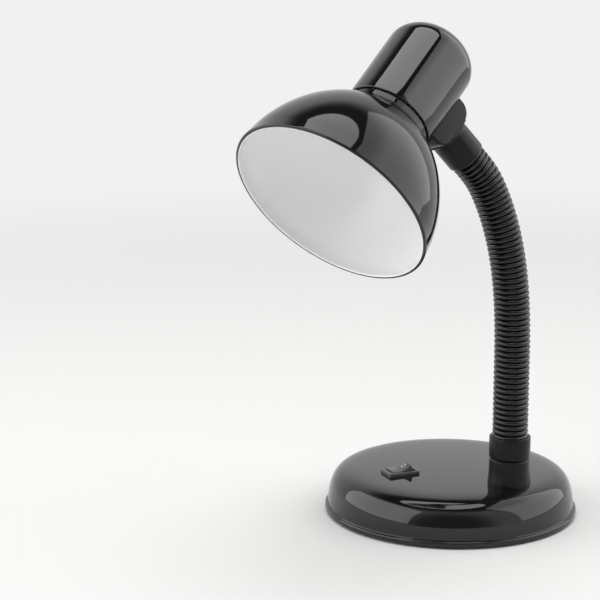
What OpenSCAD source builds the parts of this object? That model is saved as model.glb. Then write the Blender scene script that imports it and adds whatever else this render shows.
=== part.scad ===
/* [Base] */
// Radius of the lip round the foot of the base cover
base_r = 80; // [70:0.5:95]
// Width of the step between the lip and the wall above it
lip_step = 1.8; // [0.8:0.1:3]
// Height of the top of the lip above the table
lip_top = 4.6; // [3:0.1:6]
// Height of the cover's shoulder line above the table
base_top = 27.6; // [24:0.1:34]
// Rise of the cover's crown at its middle
crown = 1.6; // [0.4:0.1:3]
// Thickness of the cover's wall
cover_wall = 2; // [1.5:0.1:3]
// Gap between the lip and the table
rim_gap = 1.2; // [0.8:0.1:1.6]
// Thickness of the foam pad under the base
pad_h = 1.8; // [1.7:0.1:3]
// Radius of the foam pad
pad_r = 70; // [64:0.5:74]
// Thickness of the bottom plate
plate_t = 1.6; // [1:0.1:2.5]
// Radius of the circle on which the cover's screws lie
screw_circle = 60; // [50:1:64]
// Radius of the counterweight
weight_r = 66; // [50:1:68]
// Thickness of the counterweight
weight_t = 10; // [6:0.5:12]
// Height of the cord's inlet above the table
inlet_z = 11.4; // [11:0.1:13]
// Turn of the cord's inlet about the base's middle
inlet_turn = 30; // [0:5:90]
// Radius of the cord's way through the grommet
cord_r = 3.2; // [2.5:0.1:4]

/* [Switch] */
// Place of the switch, from the base's middle towards the front
switch_out = 36.7; // [30:0.5:45]
// Place of the switch, sideways
switch_side = -2.9; // [-10:0.1:10]
// Length of the switch's bezel
bezel_l = 21; // [19:0.5:24]
// Width of the switch's bezel
bezel_w = 15; // [14:0.5:18]
// Height of the bezel above the cover
bezel_h = 2; // [1:0.1:3]
// Length of the rocker
rocker_l = 13.2; // [11:0.2:14.4]
// Width of the rocker
rocker_w = 11; // [9:0.2:11.4]
// Height of the rocker's ends above its pivot
rocker_h = 4.3; // [4:0.1:5]
// Tilt of the rocker to each side
rocker_tilt = 16; // [10:1:18]
// Depth of the switch's body below the pivot
switch_depth = 13; // [11:0.5:14]

/* [Neck foot] */
// Place of the neck's foot, towards the back
foot_x = 17.1; // [5:0.1:30]
// Place of the neck's foot, sideways
foot_y = -46.3; // [-50:0.1:-36]
// Outside radius of the foot collar's upper tier
collar_r = 12.7; // [12.4:0.1:16]
// Outside radius of the foot collar at its foot
collar_foot_r = 13.2; // [12.8:0.1:18]
// Height of the collar's top above the table
collar_top = 59; // [54:0.5:70]
// Height of the collar's upper tier
collar_tier = 14; // [10:0.5:18]
// Outside radius of the threaded tube that clamps the collar
nipple_r = 5; // [4.5:0.1:5.5]
// Radius of the way through the threaded tube
nipple_bore_r = 3.6; // [3:0.1:3.8]

/* [Gooseneck] */
// Free length of the gooseneck
neck_len = 181.5; // [160:0.5:240]
// Number of rigid links that stand for the wound core
links = 11; // [11:1:11]
// Radius over the hose's ribs
rib_r = 11; // [10.4:0.1:11.2]
// Radius at the bottom of the hose's grooves
groove_r = 9.7; // [9.2:0.1:10]
// Inside radius of the hose
hose_bore_r = 7.25; // [7.1:0.05:7.6]
// Radius of the wound steel core
core_r = 7; // [6.5:0.1:7]
// Radius of the way through the core
core_bore_r = 4; // [3.6:0.1:4.4]
// Length along the neck where it stays upright
bend_start = 52; // [30:1:80]
// Even part of the bend, in degrees for each millimetre
bend_rate = 0.088; // [0.02:0.001:0.12]
// Growth of the bend, in degrees for each millimetre squared
bend_growth = 0.0016; // [0.0005:0.0001:0.002]
// Lean of the neck's head end from upright
head_lean = 42.5; // [30:0.5:50]
// Half of the open length at each flexing place
flex_gap = 2.4; // [2.4:0.1:3]
// Radius of the sheathed lead in the neck
lead_r = 2.4; // [1.8:0.1:2.6]

/* [Head] */
// Turn of the head about the neck's end
head_twist = 20.9; // [0:0.1:40]
// Radius of the smooth ferrule at the neck's end
ferrule_r = 11.8; // [11.4:0.1:14]
// Length of the ferrule
ferrule_len = 17; // [14:0.5:22]
// Depth of the bracket block between housing and ferrule
bracket_t = 11.7; // [9:0.1:16]
// Length of the bracket block along the housing
bracket_l = 33; // [30:0.5:40]
// Distance of the bracket block's middle below the neck's axis
bracket_drop = 1.2; // [0:0.1:2]
// Width of the bracket block
bracket_w = 24; // [24:0.5:28]
// Radius of the bracket block's ends, seen from the side
block_round = 8.5; // [6:0.1:9]
// Outside radius of the lamp housing
housing_r = 26.9; // [25:0.1:30]
// Wall of the lamp housing
housing_wall = 1.6; // [1.2:0.1:2]
// Height of the neck's axis above the housing's open edge
housing_low = 26.2; // [22:0.1:30]
// Height of the housing's dome line above the neck's axis
housing_high = 22.7; // [18:0.1:40]
// Height of the housing's dome
dome_h = 18.5; // [14:0.1:26]

/* [Shade] */
// Radius of the shade's mouth
shade_r = 60.2; // [55:0.1:80]
// Height of the shade's dome, as if it closed at the top
shade_h = 69.5; // [60:0.5:80]
// Distance from the neck's axis to the shade's mouth
mouth_down = 92.2; // [86:0.1:100]
// Roundness of the dome, 2 is an ellipse
shade_round = 1.85; // [1.7:0.01:2.2]
// Thickness of the shade's sheet
shade_t = 0.8; // [0.6:0.1:1.2]
// Radius of the rolled rim
rim_r = 1.1; // [0.9:0.1:1.6]
// Radius of the shade's upright collar under the housing
shade_neck_r = 25.8; // [24.8:0.1:26]

/* [Lampholder] */
// Radius of the lampholder's body
holder_r = 19.5; // [18:0.1:20]
// Distance from the neck's axis to the lampholder's top
holder_top = 10; // [9.5:0.1:12]
// Length of the lampholder
holder_len = 36; // [34:0.5:42]
// Inside radius of the threaded shell, for an E27 cap
shell_r = 13.2; // [13.1:0.05:13.3]
// Length of the threaded shell
shell_len = 22; // [20:0.5:24]

/* [Fits] */
// Clearance of parts that lie in or round each other
clearance = 0.15; // [0.1:0.01:0.25]
// Radial clearance of pins and screws in their holes
pin_clearance = 0.05; // [0.02:0.01:0.08]
// Gap between faces that rest on each other
seat = 0.05; // [0.02:0.01:0.1]

/* [Hidden] */
$fn = 72;

// Small step that keeps a cut open past a face.
bite = 1;

// Base cover, as an outline that is used for its outside, its inside and what sits on it.
wall_r = base_r - lip_step;
plate_z = pad_h;
weight_z = plate_z + plate_t;
profile_steps = 18;
profile_power = 8;
function cover_r(t, off) = (wall_r + off) * pow(sin(t), 1 / profile_power);
function cover_height(r, off) =
    lip_top + (base_top + off - lip_top) * sqrt(1 - pow(r / (wall_r + off), 2 * profile_power))
    + crown * (1 - pow(r / (wall_r + off), 2));
function cover_line(off) = [
    for (i = [0:profile_steps])
    let (t = 90 * pow(i / profile_steps, 2), r = cover_r(t, off))
    [r, i == profile_steps ? lip_top : cover_height(r, off)]
];
module cover_body(off, low) {
    rotate_extrude($fn = 144)
        polygon(concat([[0, low]], cover_line(off), [[wall_r + off, low]]));
}

// Screws under the base.
screw_count = 3;
screw_r = 1.25;
screw_head_r = 2.7;
screw_head_h = 1.1;
screw_head_room = 0.6;
screw_tip_room = 0.6;
cover_screw_len = 11;
weight_screw_count = 2;
weight_screw_circle = 40;
weight_screw_len = 8;
boss_r = 4;
boss_room = 1.2;
function screw_hole(len) = len - plate_t + screw_tip_room;
function ring_angle(i, n) = 60 + i * 360 / n;
module ring_of(n, r) {
    for (i = [0:n - 1])
        rotate([0, 0, ring_angle(i, n)])
            translate([r, 0, 0])
                children();
}

// The cord's inlet has a flat boss on both faces of the cover's wall.
grommet_wall = 1.2;
grommet_flange_w = 1.4;
grommet_flange_t = 1.4;
inlet_boss_edge = 0.5;
inlet_boss_out = 0.2;
inlet_boss_in = 1.8;
grommet_r = cord_r + grommet_wall;
grommet_flange_r = grommet_r + grommet_flange_w;
inlet_boss_r = grommet_flange_r + inlet_boss_edge;
inlet_out = wall_r + inlet_boss_out;
inlet_in = wall_r - cover_wall - inlet_boss_in;
grommet_len = inlet_out - inlet_in + 2 * grommet_flange_t + 2 * seat;
module at_inlet() {
    rotate([0, 0, inlet_turn])
        translate([0, 0, inlet_z])
            children();
}

// The switch stands on the cover's front half.
switch_z = cover_height(norm([switch_out, switch_side]), 0);
rocker_end_room = 0.4;
rocker_side_room = 0.3;
rocker_under = -1.6;
rocker_valley = rocker_h - rocker_l / 2 * tan(rocker_tilt);
opening_l = rocker_l * cos(rocker_tilt) + 2 * rocker_h * sin(rocker_tilt) + 2 * rocker_end_room;
opening_w = rocker_w + 2 * rocker_side_room;
body_wall = 0.7;
body_floor = 1.2;
weight_room_l = 4.5;
weight_room_w = 2.5;
body_l = opening_l + 2 * body_wall;
body_w = opening_w + 2 * body_wall;
pivot_r = 1;
plunger_r = 1.15;
plunger_len = 3;
plunger_reach = 8.1;
stem_wall = 0.7;
stem_low = 5;
rocker_roof = 1.2;
blade_t = 0.5;
blade_l = 12;
blade_w = 4;
blade_tilt = 8;
blade_z = -plunger_reach - seat - blade_t / 2;
contact_r = 1.2;
contact_x = 4.6;
contact_h = 0.5;
contact_gap = 0.15;
terminal_t = 0.8;
terminal_w = 4.8;
terminal_drop = 7;
mark_t = 0.2;
ring_mark_r = 1.8;
bar_mark_l = 3.4;
mark_w = 0.5;
spring_turns = 6;
spring_wire = 0.2;
module at_switch() {
    translate([-switch_out, switch_side, switch_z])
        children();
}
module slab(l, w, h) {
    translate([-l / 2, -w / 2, 0])
        cube([l, w, h]);
}

// The neck's foot on the cover.
foot_z = cover_height(norm([foot_x, foot_y]), 0);
foot_boss_t = 2.6;
washer_t = 1;
washer_r = 9.5;
nut_t = 5;
nut_r = 8;
foot_boss_edge = 3;
foot_boss_r = washer_r + foot_boss_edge;
boss_z = base_top - cover_wall - foot_boss_t;
collar_flare_low = 2;
collar_flare_high = 7;
collar_edge = 0.8;
collar_step = 0.1;
collar_sink = 4;
hose_in = 20;
nipple_hold = 7;
nipple_tail = 3;
hose_seat_z = collar_top - hose_in;
nipple_top = hose_seat_z + nipple_hold;
nipple_low = boss_z - washer_t - nut_t - nipple_tail;
module at_foot() {
    translate([foot_x, foot_y, 0])
        children();
}

// The neck's rest curve: upright at first, then bending more and more towards the head.
link = neck_len / links;
function lean(s) = s <= bend_start ? 0
    : bend_rate * (s - bend_start) + bend_growth * pow(s - bend_start, 2);
function link_lean(k) = k < links - 1 ? lean((k + 0.5) * link) : head_lean;
function link_step(k) = link * [-sin(link_lean(k)), 0, cos(link_lean(k))];
function link_start(k) = k == 0 ? [foot_x, foot_y, collar_top] : link_start(k - 1) + link_step(k - 1);
module at_link(k) {
    translate(link_start(k))
        rotate([0, -link_lean(k), 0])
            children();
}
upright_links = ceil(bend_start / link - 0.5);
rib_count = 4;
rib_part = (link - 2 * flex_gap) / rib_count;
rib_edge = 0.3;
foot_ribs = 5;
groove_in = 0.1;
core_gap = 0.3;
spigot_len = 8;
core_end_gap = 2;

// The head hangs on the neck's end. Its own frame has the housing's axis upright and the neck to +X.
axis_to_neck = housing_r + bracket_t + ferrule_len;
module at_neck_end() {
    translate(link_start(links))
        rotate([0, -head_lean, 0])
            children();
}
module at_head() {
    at_neck_end()
        translate([0, 0, axis_to_neck])
            rotate([0, 0, head_twist])
                rotate([0, 90, 0])
                    children();
}
module along_x(x) {
    translate([x, 0, 0])
        rotate([0, 90, 0])
            children();
}
housing_in = housing_r - housing_wall;
dome_steps = 12;
function dome_line(r, h) = [
    for (i = [0:dome_steps])
    let (t = 90 * i / dome_steps)
    [r * cos(t), housing_high + h * sin(t)]
];
bracket_x = housing_r + bracket_t;
ferrule_end = bracket_x + ferrule_len;
ferrule_edge = 0.8;
core_end_x = bracket_x + core_end_gap;
bracket_sink = 5;
block_corner = 3;
block_blend = 2.9;
blend_out = 2.4;
block_x = bracket_x - block_blend;
head_nut_t = 2.8;
head_nut_r = 7.6;
strap_t = 1;
strap_w = 14;
strap_back = 14;
strap_over = 2;
strap_x = sqrt(pow(housing_in, 2) - pow(strap_w / 2, 2)) - clearance;
strap_screw_x = 10;
strap_screw_len = 5;
head_nipple_in = strap_x - strap_t - head_nut_t - seat;

// Shade: an outline used for both faces of the sheet.
shade_steps = 20;
rim_out = 0.5;
rim_room = 3;
function shade_height(r, off) =
    (shade_h + off) * pow(1 - pow(r / (shade_r + off), shade_round), 1 / shade_round);
function shade_line(off, top_r) = [
    for (i = [0:shade_steps])
    let (r = top_r + (shade_r + off - top_r) * sin(90 * i / shade_steps))
    [r, shade_height(min(r, shade_r + off), off) - mouth_down]
];
shade_neck_top = -housing_low - seat;
ring_h = 4;
ring_edge = 1;
ring_r = shade_neck_r - shade_t - ring_edge;

// Lampholder heights, downwards from the neck's axis.
holder_low = -holder_top - holder_len;
shell_t = 0.5;
shell_lift = 2;
holder_roof = 5;
holder_thread_h = 0.8;
holder_thread_top = 2;
holder_flange_gap = 1.2;
holder_flange_t = 2.4;
strip_t = 0.5;
strip_w = 5;
strip_back = 2.6;
strip_l = 7.2;
strip_z = 2;
side_strip_l = 4;
side_strip_in = 0.3;
side_strip_x = -shell_r - shell_t + side_strip_in;
strap_hole = strap_screw_len - strap_t + screw_tip_room - 2 * seat;
shell_low = holder_low + shell_lift;
shell_top = shell_low + shell_len;
holder_thread_r = holder_r + holder_thread_h;
shade_hole_r = holder_thread_r + 2 * clearance;
contact_z = shell_top + strip_z;
chamber_top = -holder_top - holder_roof;

// The wires lie on the counterweight, and the splice cap lies on the plate, in the weight's notch.
wire_r = 1.1;
wire_out = 1.3;
lead_z = weight_z + weight_t + 4;
lead_tail = 4;
splice_r = 3.2;
splice_len = 12;
splice_room = 26;
splice_x = 52;
splice_y = -6;
splice_z = weight_z + splice_r + seat;
lead_low = nipple_low + lead_tail;
lead_end = ferrule_end - head_nipple_in - lead_tail;

// A wire is a tube that runs straight between points that are chosen by hand.
wire_sides = 12;
function unit(v) = v / norm(v);
function heading(points, i) =
    let (last = len(points) - 1)
    unit(unit(points[min(i + 1, last)] - points[min(i, last - 1)])
        + unit(points[max(i, 1)] - points[max(i - 1, 0)]));
function across(points, i) =
    let (
        t = heading(points, i),
        n = i > 0 ? across(points, i - 1) : abs(t[2]) < 0.9 ? [0, 0, 1] : [1, 0, 0]
    )
    unit(n - (n * t) * t);
module wire(points, r) {
    last = len(points) - 1;
    rings = [
        for (i = [0:last])
        let (t = heading(points, i), u = across(points, i), v = cross(t, u))
        for (a = [0:wire_sides - 1])
        points[i] + r * (u * cos(360 * a / wire_sides) + v * sin(360 * a / wire_sides))
    ];
    walls = [
        for (i = [0:last - 1])
        for (a = [0:wire_sides - 1])
        let (b = (a + 1) % wire_sides, low = i * wire_sides, high = low + wire_sides)
        each [[low + a, high + a, high + b], [low + a, high + b, low + b]]
    ];
    caps = [
        [for (a = [0:wire_sides - 1]) a],
        [for (a = [0:wire_sides - 1]) (last + 1) * wire_sides - 1 - a]
    ];
    polyhedron(rings, concat(walls, caps));
}

// ---------------------------------------------------------------- base

module base_cover() color("#101010") {
    difference() {
        union() {
            difference() {
                union() {
                    cover_body(0, rim_gap);
                    translate([0, 0, rim_gap])
                        cylinder(r = base_r, h = lip_top - rim_gap, $fn = 144);
                }
                cover_body(-cover_wall, rim_gap - bite);
            }
            at_inlet()
                along_x(inlet_in)
                    cylinder(r = inlet_boss_r, h = inlet_out - inlet_in, $fn = 48);
            intersection() {
                cover_body(-cover_wall / 2, rim_gap);
                union() {
                    ring_of(screw_count, screw_circle)
                        translate([0, 0, weight_z + seat])
                            cylinder(r = boss_r, h = base_top, $fn = 32);
                    at_foot()
                        translate([0, 0, boss_z])
                            cylinder(r = foot_boss_r, h = base_top, $fn = 48);
                }
            }
        }
        ring_of(screw_count, screw_circle)
            translate([0, 0, weight_z - bite])
                cylinder(r = screw_r + pin_clearance, h = screw_hole(cover_screw_len) + bite, $fn = 24);
        at_foot()
            cylinder(r = nipple_r + pin_clearance, h = foot_z + bite, $fn = 48);
        at_switch()
            translate([0, 0, -3 * cover_wall])
                slab(body_l + 2 * clearance, body_w + 2 * clearance, 4 * cover_wall);
        at_inlet() {
            along_x(inlet_in - bite)
                cylinder(r = grommet_r + pin_clearance, h = inlet_out - inlet_in + 2 * bite, $fn = 48);
            along_x(inlet_in - 3 * grommet_flange_t)
                cylinder(r = grommet_flange_r + 2 * clearance, h = 3 * grommet_flange_t, $fn = 48);
        }
    }
}

module base_plate() color("#3a3a3a") {
    difference() {
        translate([0, 0, plate_z])
            cylinder(r = wall_r - cover_wall - 2 * clearance, h = plate_t, $fn = 144);
        ring_of(screw_count, screw_circle)
            translate([0, 0, plate_z - bite])
                cylinder(r = screw_r + 2 * pin_clearance, h = plate_t + 2 * bite, $fn = 24);
        ring_of(weight_screw_count, weight_screw_circle)
            translate([0, 0, plate_z - bite])
                cylinder(r = screw_r + 2 * pin_clearance, h = plate_t + 2 * bite, $fn = 24);
    }
}

module counterweight() color("#4a4846") {
    difference() {
        translate([0, 0, weight_z + seat])
            cylinder(r = weight_r, h = weight_t, $fn = 96);
        ring_of(screw_count, screw_circle)
            translate([0, 0, weight_z - bite])
                cylinder(r = boss_r + boss_room, h = weight_t + 3 * bite, $fn = 32);
        ring_of(weight_screw_count, weight_screw_circle)
            translate([0, 0, weight_z - bite])
                cylinder(r = screw_r + pin_clearance, h = screw_hole(weight_screw_len) + bite, $fn = 24);
        at_switch()
            translate([0, 0, -base_top])
                slab(bezel_l + 2 * weight_room_l, bezel_w + 2 * weight_room_w, base_top);
        at_foot()
            translate([0, 0, weight_z - bite])
                cylinder(r = foot_boss_r + boss_room, h = weight_t + 3 * bite, $fn = 48);
        rotate([0, 0, inlet_turn])
            translate([weight_r, 0, weight_z - bite])
                slab(2 * splice_room, splice_room, weight_t + 3 * bite);
    }
}

module under_screws(n, r, len) {
    ring_of(n, r) {
        translate([0, 0, plate_z - screw_head_h - seat])
            cylinder(r = screw_head_r, h = screw_head_h, $fn = 32);
        translate([0, 0, plate_z - seat])
            cylinder(r = screw_r, h = len, $fn = 24);
    }
}

module weight_screws() color("#9a9a96")
    under_screws(weight_screw_count, weight_screw_circle, weight_screw_len);

module cover_screws() color("#9a9a96")
    under_screws(screw_count, screw_circle, cover_screw_len);

module base_pad() color("#151515") {
    difference() {
        cylinder(r = pad_r, h = pad_h - seat, $fn = 96);
        ring_of(screw_count, screw_circle)
            translate([0, 0, -bite])
                cylinder(r = screw_head_r + screw_head_room, h = pad_h + 2 * bite, $fn = 32);
        ring_of(weight_screw_count, weight_screw_circle)
            translate([0, 0, -bite])
                cylinder(r = screw_head_r + screw_head_room, h = pad_h + 2 * bite, $fn = 32);
    }
}

module cord_grommet() color("#0c0c0c") {
    at_inlet()
        difference() {
            union() {
                along_x(inlet_in - grommet_flange_t - seat)
                    cylinder(r = grommet_flange_r, h = grommet_flange_t, $fn = 48);
                along_x(inlet_in - grommet_flange_t - seat)
                    cylinder(r = grommet_r, h = grommet_len, $fn = 48);
                along_x(inlet_out + seat)
                    cylinder(r = grommet_flange_r, h = grommet_flange_t, $fn = 48);
            }
            along_x(inlet_in - 2 * grommet_flange_t)
                cylinder(r = cord_r, h = 2 * grommet_len, $fn = 48);
        }
}

// -------------------------------------------------------------- switch

module switch_housing() color("#121212") {
    difference() {
        union() {
            difference() {
                at_switch()
                    translate([0, 0, -bezel_h])
                        slab(bezel_l, bezel_w, 2 * bezel_h);
                cover_body(seat, 0);
            }
            at_switch()
                translate([0, 0, -switch_depth])
                    slab(body_l, body_w, switch_depth + bezel_h / 2);
        }
        at_switch() {
            translate([0, 0, -switch_depth + body_floor])
                slab(opening_l, opening_w, switch_depth + bezel_h);
            rotate([90, 0, 0])
                translate([0, 0, -body_w / 2 - seat])
                    cylinder(r = pivot_r + pin_clearance, h = body_w + 2 * seat, $fn = 24);
            for (x = [0, contact_x])
                translate([x, 0, -switch_depth - bite])
                    slab(terminal_t + 2 * seat, terminal_w + 2 * seat, body_floor + 2 * bite);
        }
    }
}

module rocked() {
    at_switch()
        rotate([0, -rocker_tilt, 0])
            children();
}

module rocker() color("#161616") {
    rocked()
        difference() {
            union() {
                rotate([90, 0, 0])
                    translate([0, 0, -rocker_w / 2])
                        linear_extrude(height = rocker_w)
                            polygon([
                                [-rocker_l / 2, rocker_under],
                                [-rocker_l / 2, rocker_h],
                                [0, rocker_valley],
                                [rocker_l / 2, rocker_h],
                                [rocker_l / 2, rocker_under]
                            ]);
                rotate([90, 0, 0])
                    translate([0, 0, -body_w / 2])
                        cylinder(r = pivot_r, h = body_w, $fn = 24);
                translate([0, 0, -stem_low])
                    cylinder(r = plunger_r + stem_wall, h = stem_low, $fn = 32);
            }
            translate([0, 0, -stem_low - bite])
                cylinder(r = plunger_r + pin_clearance,
                         h = stem_low + bite + rocker_valley - rocker_roof, $fn = 32);
        }
}

module on_face(side) {
    rocked()
        translate([side * rocker_l / 4, 0, (rocker_h + rocker_valley) / 2])
            rotate([0, -side * rocker_tilt, 0])
                translate([0, 0, seat])
                    children();
}
module rocker_marks() color("#e8e8e4") {
    on_face(1)
        difference() {
            cylinder(r = ring_mark_r, h = mark_t, $fn = 32);
            translate([0, 0, -bite])
                cylinder(r = ring_mark_r - mark_w, h = mark_t + 2 * bite, $fn = 32);
        }
    on_face(-1)
        slab(bar_mark_l, mark_w, mark_t);
}

module rocker_plunger() color("#d8d4c8") {
    rocked() {
        translate([0, 0, -plunger_reach + plunger_r])
            cylinder(r = plunger_r, h = plunger_len, $fn = 32);
        translate([0, 0, -plunger_reach + plunger_r])
            sphere(r = plunger_r, $fn = 32);
    }
}

module plunger_spring() color("#b8b8b4") {
    spring_low = -plunger_reach + plunger_r + plunger_len + seat;
    spring_high = rocker_valley - rocker_roof - seat;
    pitch = (spring_high - spring_low - 2 * spring_wire) / (spring_turns - 1);
    rocked()
        for (i = [0:spring_turns - 1])
            translate([0, 0, spring_low + spring_wire + i * pitch])
                rotate_extrude($fn = 32)
                    translate([plunger_r - spring_wire - pin_clearance, 0])
                        circle(r = spring_wire, $fn = 16);
}

module contact_blade() color("#c89a4a") {
    at_switch()
        translate([0, 0, blade_z])
            rotate([0, blade_tilt, 0]) {
                translate([0, 0, -blade_t / 2])
                    slab(blade_l, blade_w, blade_t);
                translate([contact_x + contact_r / 2, 0, -blade_t / 2 - contact_h])
                    cylinder(r = contact_r, h = contact_h, $fn = 32);
            }
}

module switch_terminals() color("#c8a252") {
    rest_z = blade_z - blade_t / 2 / cos(blade_tilt) - (terminal_t / 2) * tan(blade_tilt) - seat;
    low_z = blade_z - (contact_x + contact_r * 1.5 + terminal_t / 2) * sin(blade_tilt)
        - (blade_t / 2 + contact_h) / cos(blade_tilt) - contact_gap;
    drop = -switch_depth - terminal_drop;
    at_switch() {
        translate([0, 0, drop])
            slab(terminal_t, terminal_w, rest_z - drop);
        translate([contact_x, 0, drop])
            slab(terminal_t, terminal_w, low_z - drop);
        translate([contact_x + contact_r, 0, low_z - terminal_t])
            slab(contact_r * 2.4, contact_r * 2.4, terminal_t);
    }
}

// ----------------------------------------------------------- neck foot

module foot_collar() color("#101010") {
    difference() {
        at_foot()
            rotate_extrude($fn = 96)
                polygon([
                    [0, foot_z - collar_sink],
                    [collar_foot_r, foot_z - collar_sink],
                    [collar_foot_r, foot_z + collar_flare_low],
                    [collar_r - collar_step, foot_z + collar_flare_high],
                    [collar_r - collar_step, collar_top - collar_tier - collar_edge],
                    [collar_r - collar_step - collar_edge, collar_top - collar_tier],
                    [collar_r, collar_top - collar_tier + collar_edge],
                    [collar_r, collar_top - collar_edge],
                    [collar_r - collar_edge, collar_top],
                    [0, collar_top]
                ]);
        cover_body(seat, 0);
        at_foot() {
            translate([0, 0, hose_seat_z])
                cylinder(r = rib_r + clearance, h = collar_top, $fn = 96);
            cylinder(r = nipple_r + pin_clearance, h = collar_top, $fn = 48);
        }
    }
}

module foot_nipple() color("#c6a75a") {
    at_foot()
        difference() {
            translate([0, 0, nipple_low])
                cylinder(r = nipple_r, h = nipple_top - nipple_low, $fn = 48);
            translate([0, 0, nipple_low - bite])
                cylinder(r = nipple_bore_r, h = nipple_top, $fn = 48);
        }
}

module foot_washer() color("#a8a8a4") {
    at_foot()
        translate([0, 0, boss_z - washer_t - seat])
            difference() {
                cylinder(r = washer_r, h = washer_t, $fn = 48);
                translate([0, 0, -bite])
                    cylinder(r = nipple_r + pin_clearance, h = washer_t + 2 * bite, $fn = 48);
            }
}

module foot_nut() color("#b0b0aa") {
    at_foot()
        translate([0, 0, boss_z - washer_t - nut_t - 2 * seat])
            difference() {
                cylinder(r = nut_r, h = nut_t, $fn = 6);
                translate([0, 0, -bite])
                    cylinder(r = nipple_r + pin_clearance, h = nut_t + 2 * bite, $fn = 48);
            }
}

// --------------------------------------------------------------- leads

module switch_lead() color("#6b3a1c") {
    tab = [-switch_out + contact_x + terminal_t / 2 + wire_r + seat, switch_side,
           switch_z - switch_depth - terminal_drop + 3];
    wire([
        tab,
        tab + [3, 0, 0],
        tab + [8, -4, 9],
        [-6, -22, lead_z],
        [foot_x - 14, foot_y + 10, lead_z],
        [foot_x - 9.6, foot_y + wire_out, 12],
        [foot_x - 3, foot_y + wire_out, 10],
        [foot_x - wire_out, foot_y + wire_out, nipple_low - 1],
        [foot_x - wire_out, foot_y + wire_out, nipple_low + 2]
    ], wire_r);
}

function turned(p) = [
    p[0] * cos(inlet_turn) - p[1] * sin(inlet_turn),
    p[0] * sin(inlet_turn) + p[1] * cos(inlet_turn),
    p[2]
];
module neutral_lead() color("#2a4f8a") {
    wire([
        turned([splice_x, splice_y + 4, splice_z]),
        turned([splice_x, splice_y - 2, splice_z]),
        turned([splice_x - 4, splice_y - 4, lead_z]),
        [foot_x + 11, foot_y + 8, lead_z],
        [foot_x + 9.6, foot_y - wire_out, 12],
        [foot_x + 3, foot_y - wire_out, 10],
        [foot_x + wire_out, foot_y - wire_out, nipple_low - 1],
        [foot_x + wire_out, foot_y - wire_out, nipple_low + 2]
    ], wire_r);
}

module splice_cap() color("#d8d8d0") {
    rotate([0, 0, inlet_turn])
        translate([splice_x, splice_y, splice_z])
            rotate([-90, 0, 0])
                difference() {
                    union() {
                        cylinder(r = splice_r, h = splice_len, $fn = 32);
                        translate([0, 0, splice_len])
                            sphere(r = splice_r, $fn = 32);
                    }
                    translate([0, 0, -bite])
                        cylinder(r = wire_r + seat, h = splice_len, $fn = 32);
                }
}

// The sheathed lead runs up through both threaded tubes and the core.
module neck_lead() color("#222222") {
    end = link_start(links) + lead_end * [-sin(head_lean), 0, cos(head_lean)];
    wire(concat(
        [[foot_x, foot_y, lead_low]],
        [for (k = [upright_links:links]) link_start(k)],
        [end]
    ), lead_r);
}

module head_leads() color("#6b3a1c") {
    out = head_nipple_in + 3.5;
    at_head()
        for (side = [-1, 1])
            wire([
                [out, side * wire_out, 0],
                [head_nipple_in - 2, side * wire_out, 0.4],
                [9, side * 8, 3],
                [2, side * 10.5, -3],
                [2, side * 10.5, -holder_top + seat]
            ], wire_r);
}

// ---------------------------------------------------------------- neck

function ribs_line(z0, n) = [
    for (i = [0:n - 1])
    let (z = z0 + i * rib_part)
    each [
        [groove_r, z],
        [rib_r - rib_edge, z + rib_part * 0.22],
        [rib_r, z + rib_part * 0.4],
        [rib_r, z + rib_part * 0.6],
        [rib_r - rib_edge, z + rib_part * 0.78],
        [groove_r, z + rib_part]
    ]
];
module neck_hose(k) color("#0d0d0d") {
    low = k == 0 ? hose_seat_z - collar_top + seat : flex_gap;
    high = k == links - 1 ? link + spigot_len - seat : link - flex_gap;
    first = k == 0 ? flex_gap - foot_ribs * rib_part : flex_gap;
    count = k == 0 ? rib_count + foot_ribs : rib_count;
    at_link(k)
        rotate_extrude($fn = 72)
            polygon(concat(
                [[hose_bore_r, low], [groove_r, low]],
                ribs_line(first, count),
                [[groove_r - groove_in, high], [hose_bore_r, high]]
            ));
}

module neck_core(k) color("#8c8c88") {
    top = k == links - 1;
    foot = k == 0;
    low = foot ? hose_seat_z - collar_top + seat : 0;
    high = top ? link + ferrule_len - core_end_gap : link;
    at_link(k)
        difference() {
            union() {
                translate([0, 0, low])
                    cylinder(r = core_r, h = high - low, $fn = 64);
                if (!top)
                    translate([0, 0, link])
                        sphere(r = core_r, $fn = 64);
            }
            translate([0, 0, low - bite])
                cylinder(r = core_bore_r, h = high - low + 2 * core_r, $fn = 48);
            if (!foot)
                sphere(r = core_r + core_gap, $fn = 64);
            if (foot)
                translate([0, 0, low - bite])
                    cylinder(r = nipple_r + pin_clearance, h = nipple_hold + bite, $fn = 48);
            if (top)
                translate([0, 0, high - nipple_hold])
                    cylinder(r = nipple_r + pin_clearance, h = nipple_hold + bite, $fn = 48);
        }
}

// ---------------------------------------------------------------- head

module ferrule() color("#0f0f0f") {
    at_head()
        difference() {
            along_x(bracket_x + seat)
                rotate_extrude($fn = 96)
                    polygon([
                        [0, 0],
                        [ferrule_r, 0],
                        [ferrule_r, ferrule_len - ferrule_edge - seat],
                        [ferrule_r - ferrule_edge, ferrule_len - seat],
                        [0, ferrule_len - seat]
                    ]);
            along_x(ferrule_end - spigot_len)
                cylinder(r = groove_r + seat, h = spigot_len + bite, $fn = 72);
            along_x(core_end_x - clearance)
                cylinder(r = core_r + clearance, h = ferrule_len, $fn = 64);
            along_x(bracket_x - bite)
                cylinder(r = nipple_r + pin_clearance, h = ferrule_len, $fn = 48);
        }
}

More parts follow.
